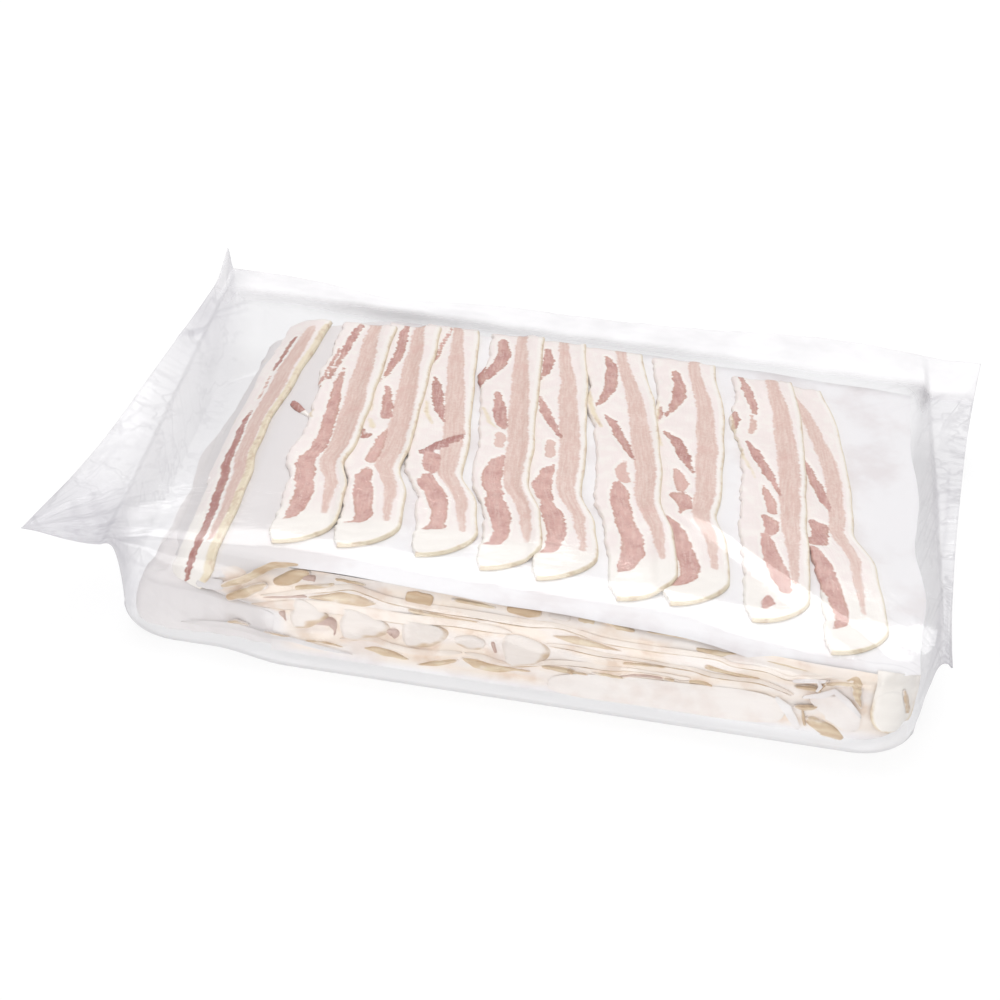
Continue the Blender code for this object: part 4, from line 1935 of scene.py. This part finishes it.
@dataclass
class FrontEdge:
    """The stack's crowded front: turned sheet edges and the slice ends between them.

    Every strip is laid on a steep face behind the film. A node's second value
    is the height at which it is seen from the front and above, so that strips
    that lie further back still meet.
    """

    film: BagFilm
    film_gap: float = 1.9
    gap_per_out: float = 0.45
    outermost: float = 5.5
    face: tuple[Pair, ...] = (
        (-6.0, -164.5), (4.3, -161.5), (17.0, -158.0), (29.6, -154.5), (42.7, -150.5),
        (55.7, -147.5), (70.9, -142.5), (76.0, -140.0),
    )
    sway: tuple[Pair, ...] = (
        (-200.0, 5.5), (-140.0, 4.5), (0.0, 0.0), (50.0, -0.5), (100.0, -4.0), (130.0, -9.0),
        (180.0, -13.5), (213.0, -15.5),
    )
    full_height: float = 68.0
    slant: float = 0.757
    slant_from: float = -158.0
    corner_from: float = 210.0
    corner_radius: float = 41.0
    least_height: float = 2.6
    backing_run: Pair = (-212.0, 249.5)
    backing_foot: float = 1.0
    backing_tops: tuple[Pair, ...] = (
        (-212.0, 64.0), (-150.0, 70.0), (0.0, 67.5), (60.0, 65.5), (100.0, 63.0),
        (150.0, 58.5), (200.0, 57.0), (250.0, 55.5),
    )
    strips: tuple[FrontStrip, ...] = (
        *front_strips(
            Stuff.RIND, 0.55, 5.0,
            ((-198, 47, 2.2), (-190, 51, 2.9), (-180, 58, 3), (-171, 66, 3), (-163, 71, 2.8),
             (-150, 73, 2)),
            ((-194, 38, 2.8), (-184, 43, 3.6), (-176, 49, 3.6), (-168, 54, 2.2)),
            ((241, 47, 1.4), (246, 37, 2.4), (250, 26, 2)),
        ),
        *front_strips(
            Stuff.RIND, 0.5, 2.0,
            ((-192, 18, 0.8), (-185, 19.5, 2), (-177, 18, 1)),
            ((-168, 15, 0.8), (-160, 14, 1.4), (-150, 14, 0.8)),
        ),
        *front_strips(
            Stuff.RIND, 0.45, 0.5,
            ((-142, 48, 1.5), (-130, 50, 4), (-117, 52, 6), (-105, 51, 4.5), (-97, 51, 1.5)),
            ((-102, 14, 1), (-96, 14, 3.5), (-86, 13, 4), (-76, 11, 2.5), (-72, 10, 1)),
            ((-67, 7, 1.2), (-56, 10, 3), (-47, 13, 2.8), (-40, 16, 1)),
            ((-39, 18, 1.2), (-28, 15, 4), (-16, 14, 4), (-4, 15, 2.4), (7, 16, 1.2)),
            ((203, 48, 1.2), (209, 50, 4), (212, 44, 2.6)),
            ((64, 34, 2.2), (78, 35, 2), (92, 36, 1)),
            ((115, 42, 3.2), (124, 40, 2.6), (138, 39, 2), (151, 39, 1)),
        ),
        *front_strips(
            Stuff.RIND, 0.8, 1.4,
            ((-165, 56, 3), (-157, 60, 5.4), (-149, 66, 4.8), (-142, 69, 2)),
            ((-79, 61, 4.6), (-70, 61, 5.2), (-61, 60, 4.6)),
            ((-14, 64, 3.4), (-2, 64, 5), (9, 65, 5)),
            ((30, 21, 2), (34, 20, 2.4)),
            ((186, 33, 0.8), (190, 41, 1.2), (193, 46, 0.8)),
            ((180, 20, 0.8), (182, 13, 1.2), (184, 6, 0.8)),
        ),
        *front_strips(
            Stuff.RIND, 0.3, 0.6,
            ((-151, 54, 3), (-138, 57, 3.4), (-125, 62, 2.4)),
            ((-126, 66, 1.4), (-116, 66, 2.2), (-105, 65, 1.4)),
            ((-50, 64, 1.6), (-35, 64, 2.6), (-20, 63, 2)),
            ((32, 65, 4.2), (43, 64, 4.2)),
            ((49, 65, 2.4), (59, 63, 3.4), (69, 61, 2.6)),
            ((75, 62, 1.8), (92, 62, 1.8), (110, 61, 1)),
            ((108, 55, 2.4), (122, 54.5, 3.4), (135, 56, 1.8)),
            ((152, 54, 0.8), (165, 52.5, 2.2), (181, 50.5, 1)),
            ((-77, 50, 2.8), (-58, 49, 2.4), (-40, 49, 1.6), (-29, 49, 1)),
            ((17, 47, 1.6), (32, 47, 4), (46, 45, 3), (63, 43, 1.2)),
            ((-141, 12, 0.8), (-128, 13.5, 1.5), (-115, 12, 1)),
            ((12, 22, 1.5), (24, 21, 2.6), (44, 20, 1.2)),
            ((45, 22, 1.6), (57, 22, 2.4), (66, 22, 1.4)),
            ((91, 26, 2), (98, 26, 2.2)),
            ((107, 27, 2), (117, 28, 2.6), (122, 26, 1.4)),
            ((183, 13, 2.6), (191, 9, 5.5), (203, 3, 5.5), (209, -1, 2.6)),
        ),
        # Lean in the gaps between the hanging slice ends: real lean, darkened as painted shade from the
        # ends above.
        *front_strips(
            Stuff.LEAN, 0.50, 0.0,
            ((-172, 42, 1), (-160, 45, 2.2), (-146, 48, 2.8), (-142, 48, 1)),
            ((-158, 34, 4), (-154, 26, 1.6)),
            ((-135, 27, 2), (-126, 31, 5.2), (-122, 25, 2.6), (-122, 20, 1)),
            ((-89, 30, 2), (-84, 30, 4.6), (-83, 25, 1.6)),
            ((-20, 35, 2.6), (-17, 26, 1.6)),
        ),
        *front_strips(
            Stuff.LEAN, 0.16, 0.4,
            ((-147, 64, 4), (-138, 64, 3.6)),
            ((62, 22, 1), (75, 26, 2.4), (91, 27, 2)),
        ),
        *front_strips(
            Stuff.FAT, 0.6, 0.8,
            ((-137, 43, 12), (-140, 37, 13), (-144, 30, 9.5), (-148, 22, 4)),
            ((-102, 42, 15), (-104, 36, 16.5), (-109, 28, 12), (-114, 18.5, 5)),
            ((-64, 42, 15), (-65, 37, 16.5), (-69, 30, 12), (-75, 22, 4.5)),
            ((4, 43, 13), (2, 36, 16), (-2, 27, 13), (-8, 17, 5)),
        ),
        *front_strips(
            Stuff.FAT, 0.0, 0.4,
            ((13, 64, 4.6), (21, 64, 5), (28, 64, 4.6)),
            ((-45, 33, 4), (-34, 32, 7), (-24, 33, 4)),
        ),
        *front_strips(
            Stuff.PAPER, 0.8, 1.0,
            ((-173, 44, 1), (-158, 48, 2), (-141, 54, 2.2), (-128, 58, 2.4), (-115, 62, 2.2),
             (-103, 60, 2.4), (-88, 56.5, 2.8), (-60, 55, 3), (-30, 55, 3), (0, 54.5, 3), (20, 56, 2),
             (36, 53, 2), (50, 50, 2.3), (75, 49.5, 2.3), (103, 50.5, 2.2), (122, 50.5, 1.8),
             (133, 47, 1.6), (153, 47, 1.8), (167, 43, 1.6), (176, 45, 1.4), (190, 48, 1.2),
             (203, 52, 1)),
            ((-178, 36, 1), (-162, 38, 2.6), (-142, 41.5, 4), (-118, 43, 4.4), (-95, 43, 4.4),
             (-76, 43, 4), (-62, 44.5, 3.4), (-45, 46, 3.2), (-20, 45.5, 2.8), (-8, 45, 1.2)),
            ((14, 40, 1.2), (30, 40, 1.6), (48, 38.5, 1.8), (62, 38.5, 1.5), (80, 38.5, 1.2),
             (95, 38, 1.2), (108, 38, 1.4), (120, 36, 1.6), (136, 36, 1.6), (151, 36.5, 1.6),
             (165, 33, 1.4), (173, 30, 1.2)),
            ((-4, 20, 1), (8, 22.5, 1.5), (22, 26.5, 1.8), (40, 28, 1.9), (56, 28, 1.8), (70, 30, 1.2),
             (92, 30.5, 1.2), (101, 29, 1.6), (108, 30, 1.2)),
            ((-118, 19, 1), (-105, 21.5, 1.8), (-95, 22, 2), (-84, 19, 2.2), (-72, 17.5, 2.4),
             (-58, 18.5, 2.4), (-46, 21, 2), (-38, 22.5, 1)),
            ((-37, 23, 0.8), (-26, 22, 1.8), (-14, 20, 1.4), (-6, 19, 0.8)),
        ),
        *front_strips(
            Stuff.PAPER, 0.4, 1.0,
            ((18, 8, 6), (36, 10, 9), (66, 12, 10.5), (98, 13.5, 12), (132, 14.5, 13), (156, 15, 12),
             (170, 14, 8)),
        ),
        *front_strips(
            Stuff.PAPER, 0.0, 1.5,
            ((-215, 46, 2), (-207, 47, 4.5), (-197, 48, 4)),
        ),
        *front_strips(
            Stuff.PAPER, 0.0, 2.6,
            ((-222, 13, 0.8), (-205, 14.5, 2.2), (-185, 15.5, 2.4), (-165, 12, 2.2), (-148, 12, 1.8),
             (-128, 9, 1.6), (-108, 8, 0.8)),
        ),
        # Crisply folded paper at the right front corner: the tone of these groups is a tan tint, partly
        # painted shade in the folds.
        *front_strips(
            Stuff.FOLD, 0.15, 3.2,
            ((170, 41, 1.2), (181, 43.5, 1.8), (196, 47, 2), (213, 53, 1.6)),
            ((178, 29.5, 1), (189, 32.5, 2.4), (197, 38.5, 2), (206, 31, 2.2), (217, 20, 1.2)),
            ((162, 26.5, 1), (170, 18.5, 3.4), (180, 2.5, 2)),
            ((185, 45, 0.8), (188, 40, 1.4), (186, 35, 1)),
        ),
        *front_strips(
            Stuff.FOLD, 0.35, 1.8,
            ((183, 29, 1), (191, 27, 6), (201, 24, 11), (210, 15, 9), (215, 8, 3)),
        ),
        # Painted shade: tan rind-coloured strips in the hollows between the crisp paper folds.
        *front_strips(
            Stuff.RIND, 0.35, 2.6,
            ((190, 42, 1), (200, 45, 2.6), (209, 46, 3.4), (212, 36, 2.2), (216, 27, 0.9)),
            ((172, 37, 1), (182, 37.5, 2.4), (189, 36, 1.4)),
            ((174, 21, 0.8), (181, 21, 2.6), (189, 23, 1.4)),
        ),
    )

    def shades(self) -> tuple[FrontStrip, ...]:
        """Returns painted shadows: thin tan rind-coloured strips just under the long paper bands."""
        bands = [strip for strip in self.strips if len(strip.run.nodes) > 8 and strip.stuff is Stuff.PAPER]
        return tuple(
            FrontStrip(
                Stuff.RIND,
                Streak(0.4, tuple((x, seen - half - 0.5, 1.0) for x, seen, half in band.run.nodes)),
                0.3,
            )
            for band in bands
        )

    def set_on_face(self, x: float, seen: float, out: float, thick: float = 0.0) -> Vector:
        """Gives a point on the stack's front.

        Args:
            x: Place along the stack, in millimetres.
            seen: Height at which the point is seen, in millimetres.
            out: How far the thing it is on stands before the face.
            thick: How far the point is before the middle of that thing.

        Returns:
            The point, in metres.
        """
        y = through(self.face, seen)
        y += through(self.sway, x) * min(max(seen / self.full_height, 0.0), 1.0)
        past = min(max(x - self.corner_from, 0.0), self.corner_radius - 2.0)
        y += self.corner_radius - math.sqrt(self.corner_radius**2 - past**2) - out
        z = seen - (y - self.slant_from) * self.slant
        gap = self.film_gap + self.gap_per_out * max(self.outermost - out, 0.0)
        for _ in range(3):
            over = z + gap - self.film.lid(x * MM, y * MM) / MM
            if over > 0.0:
                y, z = y + 0.9 * over, z - 0.9 * over * self.slant
        return Vector((x, y - thick, max(z + thick * self.slant, self.least_height))) * MM

    def place(self, strip: FrontStrip, number: int, along: float, across: float) -> SlabPoint:
        """Gives a point of a strip.

        Args:
            strip: The strip.
            number: Its place among the strips.
            along: Share of its length.
            across: Share of its width, from its lower edge to its upper one.

        Returns:
            Its two faces, and the meat's make-up there.
        """
        crisp = strip.stuff is Stuff.FOLD
        middle = strip.run.at(along, crisp)
        ahead = strip.run.at(min(along + 0.02, 1.0)) - strip.run.at(max(along - 0.02, 0.0))
        side = Vector((-ahead.y, ahead.x)).normalized()
        if strip.run.nodes[-1][0] < strip.run.nodes[0][0]:
            side = -side
        ends = math.sqrt(max(0.0, 1.0 - abs(2.0 * along - 1.0) ** strip.stuff.blunt))
        half = middle.z * ends * (1.0 + 0.07 * wander(130.0 + number, along * 40.0, 16.0))
        offset = (2.0 * across - 1.0) * half
        x = middle.x + side.x * offset
        seen = middle.y + side.y * offset + 0.3 * wander(150.0 + number, along * 60.0, 18.0)
        if strip.stuff.is_paper:
            thick = 0.0 if on_rim(along, across) else 0.15
            out = strip.out + 0.5 - 1.1 * across + 0.3 * wander(170.0 + number, x, 22.0)
            return SlabPoint(
                self.set_on_face(x, seen, out, thick),
                self.set_on_face(x, seen, out, -thick),
                {"grease_and_shade": strip.run.tone},
            )
        from_edge = (1.0 - abs(2.0 * across - 1.0)) * half
        full = ease(0.0, max(min(2.4, half), 0.2), from_edge) * ends
        patchy = 1.7 * mottle(190.0 + number, x, 1.8 * seen, 8.0) - 2.4 * (1.0 - min(from_edge / 1.5, 1.0))
        patchy -= 1.6 * ease(0.70, 1.0, abs(2.0 * along - 1.0))
        tone = strip.run.tone
        # Dimming of the front's strips: partly painted shade, partly a duller tone.
        dimmed = 0.35 + 0.55 * tone + 0.35 * mottle(220.0 + number, 0.6 * x, 2.6 * seen, 8.0)
        low_edge = 0.7 + 2.0 * tone - 1.1 * across * half + patchy * 0.6
        rind = {
            Stuff.RIND: 1.7 + 1.2 * tone + patchy, Stuff.FAT: min(low_edge, 0.9), Stuff.LEAN: OUTSIDE,
        }[strip.stuff]
        lean = min(from_edge + 0.4, 2.0) if strip.stuff is Stuff.LEAN else OUTSIDE
        marks = {
            "along": -0.060, "across": 0.02 + seen * MM, "number": 9.0 + number + 0.05 * x,
            "lean": lean, "tone": tone if strip.stuff is Stuff.LEAN else 0.3, "pale": OUTSIDE,
            "rind": rind, "dimmed": min(max(dimmed, 0.1), 1.0) if strip.stuff is Stuff.RIND else 0.9,
        }
        high = -1.3 + (1.8 + 0.06 * from_edge) * full
        return SlabPoint(
            self.set_on_face(x, seen, strip.out, high), self.set_on_face(x, seen, strip.out, -2.4), marks
        )

    def backing_left(self, seen: float) -> float:
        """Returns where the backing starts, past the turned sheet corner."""
        return blend(-162.0, -207.0, ease(30.0, 44.0, seen))

    def backing(self, along: float, across: float) -> SlabPoint:
        """Gives a point of the pressed sheets and fat behind the strips.

        Args:
            along: Share of the front's length.
            across: Share of its height.

        Returns:
            Its two faces, and how much of it is tinted by fat pressed on it.
        """
        top = through(self.backing_tops, blend(*self.backing_run, along))
        seen = blend(self.backing_foot, top, across)
        x = blend(self.backing_left(seen), self.backing_run[1], along)
        out = 0.5 * mottle(201.0, x, 1.6 * seen, 26.0) + 0.6 * crumple(202.0, x, 3.2 * seen, 40.0)
        half = 0.0 if on_rim(along, across) else 0.2
        grease_and_shade = 0.45 + 0.55 * ease(-0.4, 0.4, mottle(203.0, x, 2.4 * seen, 30.0))
        return SlabPoint(
            self.set_on_face(x, seen, out - 0.6, half),
            self.set_on_face(x, seen, out - 0.6, -half),
            {"grease_and_shade": grease_and_shade * ease(1.0, 11.0, seen) * ease(0.0, 0.035, along)},
        )

    def build(self) -> list[bpy.types.Object]:
        """Returns the crowded paper and the crowded slice ends, a piece of each."""
        folds = Piece("front_folds", Slot.SHEET)
        folds.lay_slab(230, 34, self.backing, crisp=True)
        self.lay(folds, paper=True)
        ends = Piece("front_ends", Slot.SLICE)
        self.lay(ends, paper=False)
        CornerEnd(self).lay(ends)
        return [folds.finish(SheetFinish().material()), ends.finish(SliceFinish().material())]

    def lay(self, piece: Piece, paper: bool) -> None:
        """Adds the strips to a piece.

        Args:
            piece: The piece of paper or the piece of slice ends.
            paper: Whether the paper strips are wanted, or all the others.
        """
        for number, strip in enumerate(self.strips + self.shades()):
            if strip.stuff.is_paper != paper:
                continue

            def place(
                along: float, across: float, strip: FrontStrip = strip, number: int = number
            ) -> SlabPoint:
                """Returns the two faces of this strip at a place."""
                return self.place(strip, number, along, across)

            cells = 10 * (len(strip.run.nodes) - 1) + 6
            piece.lay_slab(cells, 12 if strip.stuff is Stuff.FAT else 8, place, crisp=paper)


@dataclass
class CornerEnd:
    """The slice end that hangs down over the stack's right front corner."""

    front: FrontEdge
    middle_x: float = 237.5
    half: float = 15.5
    top: float = 59.5
    length: float = 51.0
    straight: float = 0.62
    out: float = 1.6
    thickness: float = 1.6
    tuck: float = 4.0

    def place(self, along: float, across: float) -> SlabPoint:
        """Gives a point of the slice end.

        Args:
            along: Share of the way from its root down to its tip.
            across: Share of its width.

        Returns:
            Its two faces and the meat's make-up there.
        """
        past = max(along - self.straight, 0.0) / (1.0 - self.straight)
        half = self.half * math.sqrt(max(0.0, 1.0 - past * past))
        aside = (2.0 * across - 1.0) * half
        seen = self.top - self.length * along
        from_edge = min(half - abs(aside), self.length * (1.0 - along))
        full = ease(0.0, 3.0, from_edge)
        low = ease(0.25, 0.80, along)
        # The slice end is dimmed towards its edges as painted shade where it meets the paper behind it.
        marks = {
            "along": -0.12, "across": 0.02, "number": 9.0, "lean": OUTSIDE, "tone": 0.3, "pale": OUTSIDE,
            "rind": -1.0 + (2.6 - 0.9 * from_edge) * low, "dimmed": 0.35 * (1.0 - full),
        }
        x = self.middle_x + aside
        out = self.out - self.tuck * (1.0 - ease(0.0, 0.22, along))
        return SlabPoint(
            self.front.set_on_face(x, seen, out, self.thickness * full),
            self.front.set_on_face(x, seen, out, -0.8),
            marks,
        )

    def lay(self, piece: Piece) -> None:
        """Adds the slice end to the given piece of the front's slice ends."""
        piece.lay_slab(26, 18, self.place)


def away_from_pack(azimuth: float, elevation: float) -> Vector:
    """Gives the direction from the pack to a light or the camera.

    Args:
        azimuth: Turn to the right from straight in front, in degrees.
        elevation: Angle above the floor, in degrees.

    Returns:
        The direction, of length 1.
    """
    turn, rise = math.radians(azimuth), math.radians(elevation)
    return Vector((math.sin(turn) * math.cos(rise), -math.cos(turn) * math.cos(rise), math.sin(rise)))


@dataclass(frozen=True)
class SoftBox:
    """One soft studio light, aimed at the pack."""

    name: str
    azimuth: float
    elevation: float
    distance: float
    width: float
    height: float
    power: float

    def build(self) -> bpy.types.Object:
        """Returns the light, turned to the middle of the pack."""
        lamp = bpy.data.lights.new(self.name, "AREA")
        lamp.shape = "RECTANGLE"
        lamp.size = self.width
        lamp.size_y = self.height
        lamp.energy = self.power
        item = bpy.data.objects.new(self.name, lamp)
        back = away_from_pack(self.azimuth, self.elevation)
        item.location = back * self.distance
        item.rotation_euler = (-back).to_track_quat("-Z", "Y").to_euler()
        bpy.context.scene.collection.objects.link(item)
        return item


@dataclass(frozen=True)
class Studio:
    """The pale floor, the soft lights and the camera."""

    floor_size: float = 8.0
    floor_colour: Colour = (0.20, 0.20, 0.20, 1.0)
    glow_colour: Colour = (1.0, 1.0, 1.0, 1.0)
    floor_glow: float = 0.80
    world_colour: Colour = (0.56, 0.56, 0.565, 1.0)
    lights: tuple[SoftBox, ...] = (
        SoftBox("back_box", 180.0, 60.0, 2.0, 1.5, 1.0, 20.0),
        SoftBox("front_box", -10.0, 22.0, 2.4, 2.4, 1.0, 18.5),
        SoftBox("top_box", 0.0, 84.0, 2.0, 1.2, 1.2, 3.0),
    )
    azimuth: float = 4.48
    elevation: float = 37.12
    roll: float = 5.68
    distance: float = 1.384
    lens: float = 71.17
    aim: tuple[float, float, float] = (-0.036, -0.002, 0.030)

    def floor(self) -> None:
        """Lays the floor a hair under the pack."""
        shape = bmesh.new()
        bmesh.ops.create_grid(shape, x_segments=1, y_segments=1, size=self.floor_size / 2)
        bmesh.ops.translate(shape, verts=shape.verts, vec=(0.0, 0.0, -0.0006))
        mesh = bpy.data.meshes.new("floor")
        shape.to_mesh(mesh)
        shape.free()
        bench = NodeBench("floor")
        looks = {
            "Base Color": self.floor_colour, "Roughness": 0.8,
            "Emission Color": self.glow_colour, "Emission Strength": self.floor_glow,
        }
        mesh.materials.append(bench.output(bench.add("BsdfPrincipled", looks)))
        item = bpy.data.objects.new("floor", mesh)
        bpy.context.scene.collection.objects.link(item)

    def world(self) -> None:
        """Fills the room with even pale light."""
        world = bpy.data.worlds.new("room")
        world.use_nodes = True
        background = world.node_tree.nodes["Background"]
        background.inputs["Color"].default_value = self.world_colour
        background.inputs["Strength"].default_value = 1.0
        bpy.context.scene.world = world

    def camera(self) -> None:
        """Sets the camera up and aims it at the pack."""
        back = away_from_pack(self.azimuth, self.elevation)
        right = (-back).cross(Vector((0.0, 0.0, 1.0))).normalized()
        up = right.cross(-back)
        roll = math.radians(self.roll)
        side = right * math.cos(roll) + up * math.sin(roll)
        above = up * math.cos(roll) - right * math.sin(roll)
        data = bpy.data.cameras.new("camera")
        data.lens = self.lens
        data.sensor_width = 36.0
        item = bpy.data.objects.new("camera", data)
        place = Vector(self.aim) + Datum().shift() + back * self.distance
        turned = Matrix((side, above, back)).transposed().to_4x4()
        item.matrix_world = Matrix.Translation(place) @ turned
        bpy.context.scene.collection.objects.link(item)
        bpy.context.scene.camera = item

    def build(self) -> None:
        """Sets up the whole studio."""
        self.floor()
        self.world()
        for light in self.lights:
            light.build()
        self.camera()
        bpy.context.scene.view_settings.view_transform = "Standard"


def main() -> None:
    """Builds the pack's pieces in order, then the studio."""
    logging.basicConfig(level=logging.INFO, format="%(name)s %(message)s")
    lie = Lie()
    drape = Drape(lie)
    Sheets(lie, drape).build()
    LowerSlices(lie, drape).build()
    TopSlices(lie, drape).build()
    film = BagFilm()
    FrontEdge(film).build()
    film.build()
    Studio().build()


if __name__ == "__main__":
    main()
